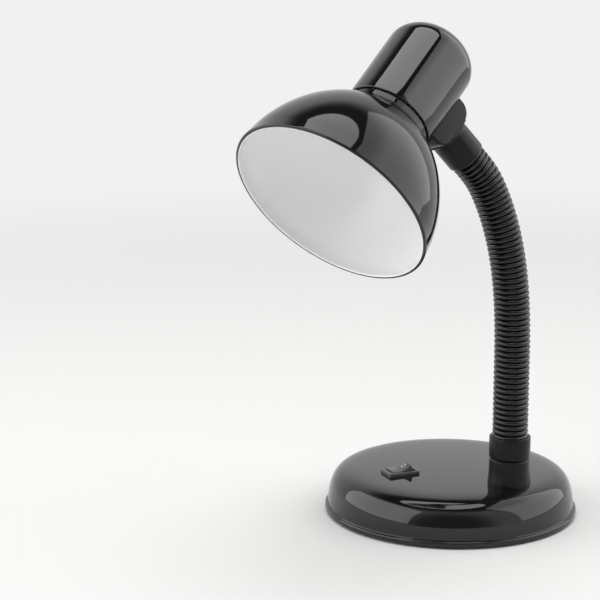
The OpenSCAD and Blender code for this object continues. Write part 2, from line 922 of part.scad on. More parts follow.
// The block seen along the neck and from the side, both with rounded corners.
module block_plan() {
    for (x = [-1, 1])
        for (y = [-1, 1])
            translate([x * (bracket_l / 2 - block_corner), y * (bracket_w / 2 - block_corner)])
                circle(r = block_corner, $fn = 48);
    square([bracket_l, bracket_w - 2 * block_corner], center = true);
    square([bracket_l - 2 * block_corner, bracket_w], center = true);
}
module block_side() {
    for (z = [-1, 1])
        translate([block_x - block_round, z * (bracket_l / 2 - block_round)])
            circle(r = block_round, $fn = 72);
    translate([0, -bracket_l / 2])
        square([block_x - block_round, bracket_l]);
    translate([0, block_round - bracket_l / 2])
        square([block_x, bracket_l - 2 * block_round]);
}
module bracket_block() color("#101010") {
    at_head()
        difference() {
            union() {
                translate([0, 0, -bracket_drop])
                    intersection() {
                        along_x(housing_r - bracket_sink)
                            linear_extrude(height = bracket_t + bracket_sink)
                                block_plan();
                        rotate([90, 0, 0])
                            linear_extrude(height = bracket_w + 2 * bite, center = true)
                                block_side();
                    }
                intersection() {
                    along_x(block_x - bite)
                        cylinder(r1 = ferrule_r + blend_out, r2 = ferrule_r, h = block_blend + bite, $fn = 96);
                    translate([bracket_x, 0, 0])
                        cube([bracket_l, bracket_w, bracket_l], center = true);
                }
            }
            translate([0, 0, -bracket_l])
                cylinder(r = housing_r + seat, h = 2 * bracket_l, $fn = 144);
            along_x(0)
                cylinder(r = nipple_r + pin_clearance, h = 2 * bracket_x, $fn = 48);
        }
}

module head_nipple() color("#c6a75a") {
    at_head()
        difference() {
            along_x(head_nipple_in)
                cylinder(r = nipple_r, h = core_end_x + nipple_hold - seat - head_nipple_in, $fn = 48);
            along_x(head_nipple_in - bite)
                cylinder(r = nipple_bore_r, h = ferrule_end, $fn = 48);
        }
}

module head_nut() color("#b0b0aa") {
    at_head()
        difference() {
            along_x(strap_x - strap_t - head_nut_t - seat)
                cylinder(r = head_nut_r, h = head_nut_t, $fn = 6);
            along_x(0)
                cylinder(r = nipple_r + pin_clearance, h = 2 * housing_r, $fn = 48);
        }
}

module lamp_housing() color("#0e0e0e") {
    at_head()
        difference() {
            rotate_extrude($fn = 144)
                polygon(concat(
                    [[0, -housing_low], [housing_r, -housing_low]],
                    dome_line(housing_r, dome_h)
                ));
            rotate_extrude($fn = 144)
                polygon(concat(
                    [[0, -housing_low - bite], [housing_in, -housing_low - bite]],
                    dome_line(housing_in, dome_h - housing_wall)
                ));
            along_x(0)
                cylinder(r = nipple_r + pin_clearance, h = 2 * housing_r, $fn = 48);
        }
}

module holder_strap() color("#b4b4b0") {
    at_head()
        difference() {
            union() {
                translate([strap_x - strap_t, -strap_w / 2, -holder_top + seat])
                    cube([strap_t, strap_w, holder_top + head_nut_r + strap_over]);
                translate([-strap_back, -strap_w / 2, -holder_top + seat])
                    cube([strap_x + strap_back, strap_w, strap_t]);
            }
            along_x(0)
                cylinder(r = nipple_r + pin_clearance, h = 2 * housing_r, $fn = 48);
            for (x = [-1, 1])
                translate([x * strap_screw_x, 0, -holder_top - bite])
                    cylinder(r = screw_r + 2 * pin_clearance, h = strap_t + 2 * bite, $fn = 24);
        }
}

module strap_screws() color("#9a9a96") {
    at_head()
        for (x = [-1, 1])
            translate([x * strap_screw_x, 0, 0]) {
                translate([0, 0, -holder_top + strap_t + 2 * seat])
                    cylinder(r = screw_head_r, h = screw_head_h, $fn = 32);
                translate([0, 0, -holder_top + strap_t + 2 * seat - strap_screw_len])
                    cylinder(r = screw_r, h = strap_screw_len, $fn = 24);
            }
}

module holder_body() color("#e6e2d6") {
    at_head()
        difference() {
            union() {
                translate([0, 0, holder_low])
                    cylinder(r = holder_r, h = holder_len, $fn = 96);
                translate([0, 0, holder_low])
                    cylinder(r = holder_thread_r, 
                             h = shade_neck_top - shade_t - holder_thread_top - holder_low, $fn = 96);
                translate([0, 0, shade_neck_top + seat])
                    cylinder(r = housing_in - holder_flange_gap, h = holder_flange_t, $fn = 96);
            }
            translate([0, 0, holder_low - bite])
                cylinder(r = shell_r + shell_t + clearance, h = chamber_top - holder_low + bite, $fn = 72);
            for (x = [-1, 1])
                translate([x * strap_screw_x, 0, -holder_top - strap_hole])
                    cylinder(r = screw_r + pin_clearance, h = strap_hole + bite, $fn = 24);
        }
}

module holder_shell() color("#c9b06a") {
    at_head()
        translate([0, 0, shell_low])
            difference() {
                cylinder(r = shell_r + shell_t, h = shell_len, $fn = 72);
                translate([0, 0, -bite])
                    cylinder(r = shell_r, h = shell_len + 2 * bite, $fn = 72);
            }
}

module centre_contact() color("#c9a54e") {
    at_head() {
        translate([-strip_back, -strip_w / 2, contact_z])
            cube([strip_l, strip_w, strip_t]);
        translate([strip_l - strip_back - strip_t, -strip_w / 2, contact_z + strip_t])
            cube([strip_t, strip_w, chamber_top - contact_z - strip_t - seat]);
    }
}

module side_contact() color("#c9a54e") {
    at_head() {
        translate([side_strip_x, -strip_w / 2, shell_top + seat])
            cube([side_strip_l, strip_w, strip_t]);
        translate([side_strip_x + side_strip_l - strip_t, -strip_w / 2, shell_top + seat + strip_t])
            cube([strip_t, strip_w, chamber_top - shell_top - strip_t - 2 * seat]);
    }
}

module shade() color("#0e0e0e") {
    at_head()
        difference() {
            union() {
                rotate_extrude($fn = 180)
                    polygon(concat(
                        [[0, -mouth_down]],
                        [for (i = [0:shade_steps]) shade_line(0, shade_neck_r)[shade_steps - i]],
                        [[shade_neck_r, shade_neck_top], [0, shade_neck_top]]
                    ));
                translate([0, 0, -mouth_down])
                    rotate_extrude($fn = 180)
                        translate([shade_r - rim_r + rim_out, 0])
                            circle(r = rim_r, $fn = 24);
            }
            rotate_extrude($fn = 180)
                polygon(concat(
                    [[0, -mouth_down - rim_room], [shade_r - shade_t - rim_r, -mouth_down - rim_room],
                     [shade_r - shade_t - rim_r, -mouth_down]],
                    [for (i = [0:shade_steps])
                        shade_line(-shade_t, shade_neck_r - shade_t)[shade_steps - i]],
                    [[shade_neck_r - shade_t, shade_neck_top - shade_t], [0, shade_neck_top - shade_t]]
                ));
            translate([0, 0, shade_neck_top - 2 * shade_t])
                cylinder(r = shade_hole_r, h = 4 * shade_t, $fn = 96);
        }
}

module shade_ring() color("#e8e8e4") {
    at_head()
        translate([0, 0, shade_neck_top - shade_t - seat - ring_h])
            difference() {
                cylinder(r = ring_r, h = ring_h, $fn = 96);
                translate([0, 0, -bite])
                    cylinder(r = holder_thread_r + pin_clearance, h = ring_h + 2 * bite, $fn = 96);
            }
}

base_cover();
base_plate();
counterweight();
weight_screws();
cover_screws();
base_pad();
cord_grommet();
switch_housing();
rocker();
rocker_marks();
rocker_plunger();
plunger_spring();
contact_blade();
switch_terminals();
foot_collar();
foot_nipple();
foot_washer();
foot_nut();
switch_lead();
neutral_lead();
splice_cap();
neck_lead();
head_leads();
for (k = [0:links - 1]) {
    neck_hose(k);
    neck_core(k);
}
ferrule();
bracket_block();
head_nipple();
head_nut();
lamp_housing();
holder_strap();
strap_screws();
holder_body();
holder_shell();
centre_contact();
side_contact();
shade();
shade_ring();
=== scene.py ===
# %% [markdown]
# # A desk lamp on a bendable neck
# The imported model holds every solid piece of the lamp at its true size, in metres.
# It is loaded first and never changed: the pieces made here are laid over it.
# Its box is kept, to compare with the dressed lamp at the end.

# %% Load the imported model
from math import cos, pi, radians, sin, sqrt, tan

import bmesh
import bpy
from mathutils import Matrix, Vector


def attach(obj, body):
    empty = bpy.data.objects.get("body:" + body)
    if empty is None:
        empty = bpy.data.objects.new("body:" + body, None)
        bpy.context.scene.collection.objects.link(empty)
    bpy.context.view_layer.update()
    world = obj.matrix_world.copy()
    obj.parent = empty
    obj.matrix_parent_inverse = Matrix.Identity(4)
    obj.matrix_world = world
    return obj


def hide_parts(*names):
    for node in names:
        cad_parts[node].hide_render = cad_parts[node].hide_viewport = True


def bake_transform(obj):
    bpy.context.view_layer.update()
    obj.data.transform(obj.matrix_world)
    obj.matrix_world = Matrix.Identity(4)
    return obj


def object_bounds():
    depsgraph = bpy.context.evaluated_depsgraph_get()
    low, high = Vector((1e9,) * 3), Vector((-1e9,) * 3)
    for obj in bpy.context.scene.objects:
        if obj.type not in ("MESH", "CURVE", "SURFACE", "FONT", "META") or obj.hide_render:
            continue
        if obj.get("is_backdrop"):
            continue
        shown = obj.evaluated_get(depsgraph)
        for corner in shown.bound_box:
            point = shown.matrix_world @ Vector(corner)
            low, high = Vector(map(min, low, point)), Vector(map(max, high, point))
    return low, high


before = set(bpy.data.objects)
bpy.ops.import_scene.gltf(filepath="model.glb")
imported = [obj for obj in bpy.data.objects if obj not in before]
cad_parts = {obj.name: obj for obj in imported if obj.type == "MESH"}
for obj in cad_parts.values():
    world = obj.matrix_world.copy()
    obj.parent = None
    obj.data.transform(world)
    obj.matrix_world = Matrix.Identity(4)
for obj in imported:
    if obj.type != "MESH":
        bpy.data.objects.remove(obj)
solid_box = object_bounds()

# %% [markdown]
# ## Camera
# The camera looks slightly down at the lamp, with the switch on the left and the neck's foot on the right.
# A long lens keeps the base's ellipse flat. It comes first, so that every piece can be judged in its view.

# %% Camera
view = bpy.data.cameras.new("camera")
view.lens = 108
view.sensor_width = 36
view.clip_start = 0.05
camera = bpy.data.objects.new("camera", view)
camera.location = (-0.5030, -0.9885, 0.3642)
camera.rotation_euler = (radians(78.35), 0, radians(-22))
bpy.context.scene.collection.objects.link(camera)
bpy.context.scene.camera = camera
bpy.context.scene.view_settings.view_transform = "Standard"
print("camera", round(camera.location.length, 3), "m from the middle of the base")

# %% [markdown]
# ## Studio
# A black gloss lamp shows mostly what it mirrors. The backdrop is pale all round. Only in mirror images
# it fades to a dark ceiling overhead, so that the soft box up there draws a crisp strip, and to a black
# cloth at the front, which deepens the plastic. Near the lamp the floor is plain paper that takes its
# shadow, and further out it turns into the backdrop without a horizon.
# What lights the lamp is weaker than what the camera and mirror images see, so dark plastic stays dark.

# %% Helpers for shader nodes
def new_material(name):
    material = bpy.data.materials.new(name)
    material.use_nodes = True
    return material, material.node_tree.nodes, material.node_tree.links

def set_inputs(node, values):
    for label, value in values.items():
        node.inputs[label].default_value = value

def soft_step(nodes, low, high, to_low, to_high):
    """Goes softly from to_low to to_high, while its value goes from low to high."""
    node = nodes.new("ShaderNodeMapRange")
    node.interpolation_type = "SMOOTHSTEP"
    set_inputs(node, {"From Min": low, "From Max": high, "To Min": to_low, "To Max": to_high})
    return node

def combine(nodes, links, operation, first, second):
    """A math node over two sockets."""
    node = nodes.new("ShaderNodeMath")
    node.operation = operation
    links.new(first, node.inputs[0])
    links.new(second, node.inputs[1])
    return node.outputs[0]

def mirrored_or_seen(nodes, links):
    """1 for what the camera and mirror images see, 0 for what only lights the lamp."""
    path = nodes.new("ShaderNodeLightPath")
    seen = path.outputs["Is Camera Ray"]
    for ray in ("Is Glossy Ray", "Is Transmission Ray"):
        seen = combine(nodes, links, "MAXIMUM", seen, path.outputs[ray])
    return seen

# %% Backdrop
backdrop, fill_light, dark_ceiling, dark_cloth = 0.88, 0.22, 0.03, 0.15
cloth_side, cloth_edge, ceiling_edge = (-0.42, -0.91, 0), (0.62, 0.94), (0.64, 0.84)

world = bpy.data.worlds.new("studio")
bpy.context.scene.world = world
world.use_nodes = True
nodes, links = world.node_tree.nodes, world.node_tree.links
mirrored = nodes.new("ShaderNodeVectorMath")
mirrored.operation = "SCALE"
links.new(nodes.new("ShaderNodeTexCoord").outputs["Generated"], mirrored.inputs[0])
links.new(nodes.new("ShaderNodeLightPath").outputs["Is Glossy Ray"], mirrored.inputs["Scale"])
height = nodes.new("ShaderNodeSeparateXYZ")
links.new(mirrored.outputs["Vector"], height.inputs[0])
ceiling = soft_step(nodes, *ceiling_edge, backdrop, dark_ceiling)
links.new(height.outputs["Z"], ceiling.inputs["Value"])
front = nodes.new("ShaderNodeVectorMath")
front.operation = "DOT_PRODUCT"
front.inputs[1].default_value = cloth_side
links.new(mirrored.outputs["Vector"], front.inputs[0])
cloth = soft_step(nodes, *cloth_edge, 1, dark_cloth)
links.new(front.outputs["Value"], cloth.inputs["Value"])
shown = combine(nodes, links, "MULTIPLY", ceiling.outputs["Result"], cloth.outputs["Result"])
strength = nodes.new("ShaderNodeMix")
strength.inputs["A"].default_value = fill_light
links.new(mirrored_or_seen(nodes, links), strength.inputs["Factor"])
links.new(shown, strength.inputs["B"])
links.new(strength.outputs["Result"], nodes["Background"].inputs["Strength"])
nodes["Background"].inputs["Color"].default_value = (1, 1, 1, 1)
print("backdrop", backdrop, "and light from all round", fill_light)

# %% Floor's paper
paper_r, fade_r, floor_r = 0.35, 1.6, 40
floor_finish, nodes, links = new_material("floor_paper")
paper = nodes["Principled BSDF"]
set_inputs(paper, {"Base Color": (0.80, 0.80, 0.79, 1), "Roughness": 0.8})
away = nodes.new("ShaderNodeVectorMath")
away.operation = "LENGTH"
links.new(nodes.new("ShaderNodeTexCoord").outputs["Object"], away.inputs[0])
far = soft_step(nodes, paper_r, fade_r, 0, 1)
links.new(away.outputs["Value"], far.inputs["Value"])
faded = combine(nodes, links, "MULTIPLY", far.outputs["Result"], mirrored_or_seen(nodes, links))
glow = nodes.new("ShaderNodeEmission")
glow.inputs["Strength"].default_value = backdrop
blend = nodes.new("ShaderNodeMixShader")
links.new(faded, blend.inputs["Fac"])
links.new(paper.outputs[0], blend.inputs[1])
links.new(glow.outputs[0], blend.inputs[2])
links.new(blend.outputs[0], nodes["Material Output"].inputs["Surface"])
print("floor fades into the backdrop", fade_r, "m out")

# %% Floor
bm = bmesh.new()
bmesh.ops.create_circle(bm, cap_ends=True, segments=96, radius=floor_r)
floor_mesh = bpy.data.meshes.new("floor")
bm.to_mesh(floor_mesh)
bm.free()
floor = bpy.data.objects.new("floor", floor_mesh)
floor.data.materials.append(floor_finish)
bpy.context.scene.collection.objects.link(floor)
floor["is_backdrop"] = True
print("floor", round(floor.dimensions.x), "m across")

# %% [markdown]
# ## Soft boxes
# A wide round lamp hangs overhead: its mirror image is the long strip down the housing and the arched
# panel on top of the shade. A large screen at the right gives the broad grey panel on the right
# of both, with a thin dark line between the two. A third one stands at the left, on the side the shade
# opens to: it lights the white inside and leaves the pale patch on the left of the base's edge.
# The camera sees only their light and their mirror images.

# %% Soft boxes
def soft_box(name, outline, place, target, size, radiance):
    """An area lamp aimed at a target, as bright as a surface of this radiance."""
    lamp = bpy.data.lights.new(name, "AREA")
    lamp.shape = outline
    lamp.size, lamp.size_y = size
    area = size[0] * size[1] * (pi / 4 if outline == "ELLIPSE" else 1)
    lamp.energy = radiance * pi * area
    box = bpy.data.objects.new(name, lamp)
    aim = Vector(target) - Vector(place)
    box.matrix_world = Matrix.Translation(place) @ aim.to_track_quat("-Z", "Y").to_matrix().to_4x4()
    box.visible_camera = False
    bpy.context.scene.collection.objects.link(box)
    print(name, size, "m,", round(lamp.energy, 1), "W")

soft_box("top_lamp", "ELLIPSE", (-0.26, -0.13, 2.0), (-0.26, -0.13, 0), (1.72, 1.72), 3.3)
soft_box("right_screen", "RECTANGLE", (1.48, -0.455, 1.17), (-0.05, 0.015, 0.35), (2.6, 2.56), 1.35)
soft_box("left_screen", "RECTANGLE", (-1.86, 0.40, 0.97), (0, 0, 0.3), (3.4, 1.9), 1.75)

# %% [markdown]
# ## Surface effects
# Moulded plastic is never perfectly even: the mould leaves faint ripples, and handling leaves patches that
# are a little less shiny. One node group makes both from noise, and each finish sets its own strengths.
# A second group drifts a colour lighter and darker, which rough castings, tarnished brass and foam all need.

# %% Helpers for node groups
def new_group(name, inputs, outputs):
    """A node group, and its nodes for inputs and outputs."""
    group = bpy.data.node_groups.new(name, "ShaderNodeTree")
    for label, kind, value in inputs:
        group.interface.new_socket(label, in_out="INPUT", socket_type=kind).default_value = value
    for label, kind in outputs:
        group.interface.new_socket(label, in_out="OUTPUT", socket_type=kind)
    return group, group.nodes.new("NodeGroupInput"), group.nodes.new("NodeGroupOutput")

def noise_of(group, source, scale_socket, detail, position):
    noise = group.nodes.new("ShaderNodeTexNoise")
    set_inputs(noise, {"Detail": detail})
    group.links.new(position, noise.inputs["Vector"])
    group.links.new(source.outputs[scale_socket], noise.inputs["Scale"])
    return noise.outputs["Fac"]

def swing_of(group, source, noise, amount_socket):
    """Noise about zero, times an input. The node's third socket takes what is added."""
    centre = group.nodes.new("ShaderNodeMath")
    centre.operation = "SUBTRACT"
    centre.inputs[1].default_value = 0.5
    swing = group.nodes.new("ShaderNodeMath")
    swing.operation = "MULTIPLY_ADD"
    group.links.new(noise, centre.inputs[0])
    group.links.new(centre.outputs[0], swing.inputs[0])
    group.links.new(source.outputs[amount_socket], swing.inputs[1])
    return swing

# %% Node group: handled surface
handled, source, result = new_group(
    "handled_surface",
    [("Ripple Scale", "NodeSocketFloat", 300), ("Patch Scale", "NodeSocketFloat", 40),
     ("Roughness", "NodeSocketFloat", 0.1), ("Spread", "NodeSocketFloat", 0.05)],
    [("Roughness", "NodeSocketFloat"), ("Height", "NodeSocketFloat")],
)
where = handled.nodes.new("ShaderNodeTexCoord").outputs["Object"]
ripple = noise_of(handled, source, "Ripple Scale", 2, where)
patch = noise_of(handled, source, "Patch Scale", 6, where)
spread = swing_of(handled, source, patch, "Spread")
handled.links.new(source.outputs["Roughness"], spread.inputs[2])
handled.links.new(spread.outputs[0], result.inputs["Roughness"])
handled.links.new(ripple, result.inputs["Height"])
print("group", handled.name, "with", len(handled.nodes), "nodes")

# %% Node group: drifting colour
drifting, source, result = new_group(
    "drifting_colour",
    [("Light", "NodeSocketColor", (0.5, 0.5, 0.5, 1)), ("Dark", "NodeSocketColor", (0.4, 0.4, 0.4, 1)),
     ("Scale", "NodeSocketFloat", 100), ("Contrast", "NodeSocketFloat", 1)],
    [("Color", "NodeSocketColor")],
)
where = drifting.nodes.new("ShaderNodeTexCoord").outputs["Object"]
cloud = noise_of(drifting, source, "Scale", 8, where)
share = swing_of(drifting, source, cloud, "Contrast")
share.inputs[2].default_value = 0.5
share.use_clamp = True
mix = drifting.nodes.new("ShaderNodeMix")
mix.data_type = "RGBA"
drifting.links.new(share.outputs[0], mix.inputs["Factor"])
drifting.links.new(source.outputs["Dark"], mix.inputs["A"])
drifting.links.new(source.outputs["Light"], mix.inputs["B"])
drifting.links.new(mix.outputs["Result"], result.inputs["Color"])
print("group", drifting.name, "with", len(drifting.nodes), "nodes")

# %% [markdown]
# ## Finishes
# Every finish is a Principled shader with its even values set on its own sockets. The groups feed only
# what changes over the surface: roughness, bump and, where the real finish is uneven, colour.

# %% A helper for finishes
finishes = {}

def finish(name, colour, roughness, spread, ripple, bump, depth=0.00005,
           dark=None, cloud=100, contrast=2, **even):
    """A finish: even names sockets of the shader, and dark is the colour that it drifts to."""
    material, nodes, links = new_material(name)
    shader = nodes["Principled BSDF"]
    set_inputs(shader, {"Base Color": (*colour, 1)})
    set_inputs(shader, {label.replace("_", " "): value for label, value in even.items()})
    surface = nodes.new("ShaderNodeGroup")
    surface.node_tree = handled
    set_inputs(surface, {"Ripple Scale": ripple, "Roughness": roughness, "Spread": spread})
    relief = nodes.new("ShaderNodeBump")
    set_inputs(relief, {"Strength": bump, "Distance": depth})
    links.new(surface.outputs["Roughness"], shader.inputs["Roughness"])
    links.new(surface.outputs["Height"], relief.inputs["Height"])
    links.new(relief.outputs["Normal"], shader.inputs["Normal"])
    if dark:
        drift = nodes.new("ShaderNodeGroup")
        drift.node_tree = drifting
        set_inputs(drift, {"Light": (*colour, 1), "Dark": (*dark, 1), "Scale": cloud, "Contrast": contrast})
        links.new(drift.outputs["Color"], shader.inputs["Base Color"])
    finishes[name] = material

# %% Black plastics and enamels
deep_black = (0.006, 0.006, 0.007)
finish("gloss_moulding", deep_black, 0.05, spread=0.04, ripple=160, bump=0.04, IOR=1.59)
finish("base_moulding", deep_black, 0.05, spread=0.04, ripple=160, bump=0.04)
finish("black_enamel", deep_black, 0.06, spread=0.04, ripple=420, bump=0.04, Specular_IOR_Level=0.42)
finish("white_enamel", (0.89, 0.89, 0.90), 0.30, spread=0.06, ripple=240, bump=0.02)
finish("satin_moulding", (0.005, 0.005, 0.006), 0.27, spread=0.08, ripple=900, bump=0.08,
       Specular_IOR_Level=0.20)
finish("hose_plastic", (0.007, 0.007, 0.007), 0.18, spread=0.10, ripple=1500, bump=0.12,
       dark=(0.004, 0.004, 0.004), cloud=220, Specular_IOR_Level=0.42)
finish("switch_plastic", (0.072, 0.072, 0.070), 0.34, spread=0.10, ripple=1800, bump=0.12)
print(len(finishes), "finishes")

# %% Metals
finish("zinc_plate", (0.60, 0.61, 0.62), 0.30, spread=0.20, ripple=1200, bump=0.10,
       dark=(0.52, 0.52, 0.50), cloud=160, Metallic=1.0)
finish("spring_steel", (0.55, 0.55, 0.56), 0.25, spread=0.12, ripple=2500, bump=0.10, Metallic=1.0)
finish("stamped_brass", (0.80, 0.60, 0.26), 0.26, spread=0.18, ripple=1400, bump=0.12,
       dark=(0.62, 0.42, 0.16), cloud=180, Metallic=1.0)
finish("socket_brass", (0.82, 0.70, 0.42), 0.22, spread=0.14, ripple=1400, bump=0.10,
       dark=(0.66, 0.52, 0.27), cloud=140, Metallic=1.0)
finish("coated_sheet", (0.030, 0.030, 0.031), 0.45, spread=0.14, ripple=1500, bump=0.25)
finish("sand_casting", (0.11, 0.105, 0.10), 0.72, spread=0.20, ripple=900, bump=0.8, depth=0.0004,
       dark=(0.05, 0.045, 0.04), cloud=90, contrast=3, Metallic=0.6)
print(len(finishes), "finishes")

# %% Ceramic, nylon, rubber, foam and wire
finish("porcelain", (0.84, 0.82, 0.76), 0.16, spread=0.08, ripple=200, bump=0.05,
       dark=(0.80, 0.77, 0.70), cloud=60, Coat_Weight=0.8, Coat_Roughness=0.06)
finish("natural_nylon", (0.78, 0.76, 0.68), 0.38, spread=0.12, ripple=900, bump=0.1,
       dark=(0.70, 0.67, 0.58), cloud=200)
finish("ring_plastic", (0.82, 0.82, 0.80), 0.28, spread=0.10, ripple=900, bump=0.1)
finish("pad_foam", (0.022, 0.022, 0.022), 0.90, spread=0.10, ripple=1600, bump=1.0, depth=0.0003,
       dark=(0.010, 0.010, 0.010), cloud=1500)
finish("soft_rubber", (0.014, 0.014, 0.014), 0.60, spread=0.14, ripple=1400, bump=0.2)
finish("mark_print", (0.55, 0.55, 0.53), 0.45, spread=0.10, ripple=2000, bump=0.1)
finish("brown_insulation", (0.19, 0.075, 0.03), 0.35, spread=0.10, ripple=1400, bump=0.15)
finish("blue_insulation", (0.03, 0.12, 0.42), 0.35, spread=0.10, ripple=1400, bump=0.15)
finish("black_sheath", (0.016, 0.016, 0.016), 0.50, spread=0.12, ripple=1400, bump=0.2)
print(len(finishes), "finishes in all")

# %% [markdown]
# ## Sizes and places
# These are the lamp's own sizes, in millimetres, as the solids have them. Everything is modelled in
# millimetres in a handy frame, such as one with the housing upright, then carried to its place in metres.

# %% Sizes of the base, neck and head
base_r, wall_r, lip_top, base_top, crown, cover_wall, profile_power = 80, 78.2, 4.6, 27.6, 1.6, 2, 8
pad_t, plate_t, weight_t, inlet_z, inlet_turn, cord_r = 1.8, 1.6, 10, 11.4, 30, 3.2
switch_x, switch_y, switch_depth, contact_x = -36.7, -2.9, 13, 4.6
foot_x, foot_y, collar_top, hose_in, nipple_r = 17.1, -46.3, 59, 20, 5
links, link, rib_r, groove_r, hose_bore_r, lead_r = 11, 16.5, 11, 9.7, 7.25, 2.4
bend_start, bend_rate, bend_growth, head_lean, head_twist = 52, 0.088, 0.0016, 42.5, 20.9
housing_r, housing_wall, housing_low, housing_high, dome_h = 26.9, 1.6, 26.2, 22.7, 18.5
bracket_t, ferrule_len, ferrule_r = 11.7, 17, 11.8
shade_r, shade_h, mouth_down, shade_round, shade_t, rim_r = 60.2, 69.5, 92.2, 1.85, 0.8, 1.1
holder_r, holder_low, holder_top, thread_h, wire_r = 19.5, -46, -10, 0.8, 1.1
clearance, pin_clearance, seat = 0.15, 0.05, 0.05
tube_hole_r = nipple_r + pin_clearance

def cover_height(r, off=0):
    share = min(1, r / (wall_r + off))
    return (lip_top + (base_top + off - lip_top) * sqrt(1 - share ** (2 * profile_power))
            + crown * (1 - share ** 2))

foot_z = cover_height(Vector((foot_x, foot_y)).length)
switch_z = cover_height(Vector((switch_x, switch_y)).length)
print("switch at", round(switch_z, 2), "mm, neck's foot at", round(foot_z, 2), "mm")

# %% The neck's rest curve and the frames along it
def lean(s):
    past = max(0, s - bend_start)
    return bend_rate * past + bend_growth * past ** 2

leans = [lean((k + 0.5) * link) for k in range(links - 1)] + [head_lean]
bends = [Vector((foot_x, foot_y, collar_top))]
for angle in leans:
    bends.append(bends[-1] + link * Vector((-sin(radians(angle)), 0, cos(radians(angle)))))

def turn(degrees, axis):
    return Matrix.Rotation(radians(degrees), 4, axis)

at_foot = Matrix.Translation((foot_x, foot_y, 0))
at_switch = Matrix.Translation((switch_x, switch_y, switch_z))
at_neck_end = Matrix.Translation(bends[links]) @ turn(-head_lean, "Y")
axis_to_neck = housing_r + bracket_t + ferrule_len
across = turn(90, "Y")
at_head = at_neck_end @ Matrix.Translation((0, 0, axis_to_neck)) @ turn(head_twist, "Z") @ across
across_head = at_head @ across
print("head's middle at", [round(x, 1) for x in at_head.translation])

# %% [markdown]
# ## Turned pieces
# Most of the lamp is round: the base cover, the collar, the housing and the shade. Each is drawn as half of
# its section and spun once round its axis, as on a lathe. Corners are rounded in the section, with a bevel
# on its points, because one small arc there becomes an even rounded edge all the way round.

# %% Helpers: section, spin and finished piece
to_metres, to_mm = Matrix.Scale(0.001, 4), Matrix.Scale(1000, 4)

def section(points, rounded=(), closed=True, segments=5):
    """Draws half a section in the XZ plane. rounded lists pairs of a point's number and its radius."""
    bm = bmesh.new()
    corners = [bm.verts.new((x, 0, z)) for x, z in points]
    pairs = list(zip(corners, corners[1:]))
    for pair in pairs + ([(corners[-1], corners[0])] if closed else []):
        bm.edges.new(pair)
    for number, radius in rounded:
        bmesh.ops.bevel(bm, geom=[corners[number]], offset=radius, offset_type="OFFSET", segments=segments,
                        profile=0.5, affect="VERTICES", material=-1, clamp_overlap=True)
    return bm

def spin(bm, steps):
    """Turns a section once round the upright axis."""
    bmesh.ops.spin(bm, geom=bm.verts[:] + bm.edges[:], axis=(0, 0, 1), cent=(0, 0, 0),
                   angle=2 * pi, steps=steps, use_merge=True)
    bmesh.ops.remove_doubles(bm, verts=bm.verts[:], dist=0.0005)
    bmesh.ops.recalc_face_normals(bm, faces=bm.faces[:])
    return bm

def crease(bm, degrees=35):
    """Shades smooth, but for edges that turn by more than this."""
    for face in bm.faces:
        face.smooth = True
    for edge in bm.edges:
        if len(edge.link_faces) == 2 and edge.calc_face_angle() > radians(degrees):
            edge.smooth = False

def shape(name, bm, place=Matrix.Identity(4), degrees=35):
    """Makes an object from a shape in millimetres, at its place in metres."""
    bm.transform(to_metres @ place)
    crease(bm, degrees)
    mesh = bpy.data.meshes.new(name)
    bm.to_mesh(mesh)
    bm.free()
    piece = bpy.data.objects.new(name, mesh)
    bpy.context.scene.collection.objects.link(piece)
    return piece

def dress(piece, surface, slot, body, *replaced):
    """Gives a piece its finish, the body that it rides on and the solids that it stands for. slot is not used.
    """
    if len(piece.data.materials) == 0:
        piece.data.materials.append(finishes[surface])
    if body:
        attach(piece, body)
    if replaced:
        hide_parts(*replaced)
    print(piece.name, len(piece.data.polygons), "faces")

# %% Helpers: openings, rounded edges, blocks and rods
def cut(piece, *cutters, operation="DIFFERENCE"):
    """Cuts pieces out of another with the Boolean modifier, and keeps the result as plain mesh."""
    for cutter in cutters:
        modifier = piece.modifiers.new("cut", "BOOLEAN")
        modifier.operation = operation
        modifier.solver = "EXACT"
        modifier.object = cutter
    bpy.context.view_layer.update()
    result = bpy.data.meshes.new_from_object(piece.evaluated_get(bpy.context.evaluated_depsgraph_get()))
    piece.modifiers.clear()
    piece.data, result.name = result, piece.name
    bm = bmesh.new()
    bm.from_mesh(result)
    bmesh.ops.remove_doubles(bm, verts=bm.verts[:], dist=1e-7)
    crease(bm)
    bm.to_mesh(result)
    bm.free()
    for cutter in cutters:
        bpy.data.objects.remove(cutter)
    return piece

def round_edges(bm, edges, radius, segments=3):
    bmesh.ops.bevel(bm, geom=edges, offset=radius, offset_type="OFFSET", segments=segments, profile=0.5,
                    affect="EDGES", material=-1)

def push_out(bm, width):
    """Fills a closed outline and pushes it out to a width, with its middle at y = 0."""
    bmesh.ops.translate(bm, vec=(0, -width / 2, 0), verts=bm.verts[:])
    bmesh.ops.contextual_create(bm, geom=bm.edges[:])
    pushed = bmesh.ops.extrude_face_region(bm, geom=bm.faces[:])["geom"]
    bmesh.ops.translate(bm, vec=(0, width, 0), verts=[v for v in pushed if isinstance(v, bmesh.types.BMVert)])
    bmesh.ops.recalc_face_normals(bm, faces=bm.faces[:])

def block(size, centre=(0, 0, 0)):
    bm = bmesh.new()
    bmesh.ops.create_cube(bm, size=1)
    bmesh.ops.scale(bm, vec=size, verts=bm.verts[:])
    bmesh.ops.translate(bm, vec=centre, verts=bm.verts[:])
    return bm

def rod(radius, low, high, segments=64):
    bm = bmesh.new()
    bmesh.ops.create_cone(bm, cap_ends=True, segments=segments, radius1=radius, radius2=radius,
                          depth=high - low)
    bmesh.ops.translate(bm, vec=(0, 0, (low + high) / 2), verts=bm.verts[:])
    return bm

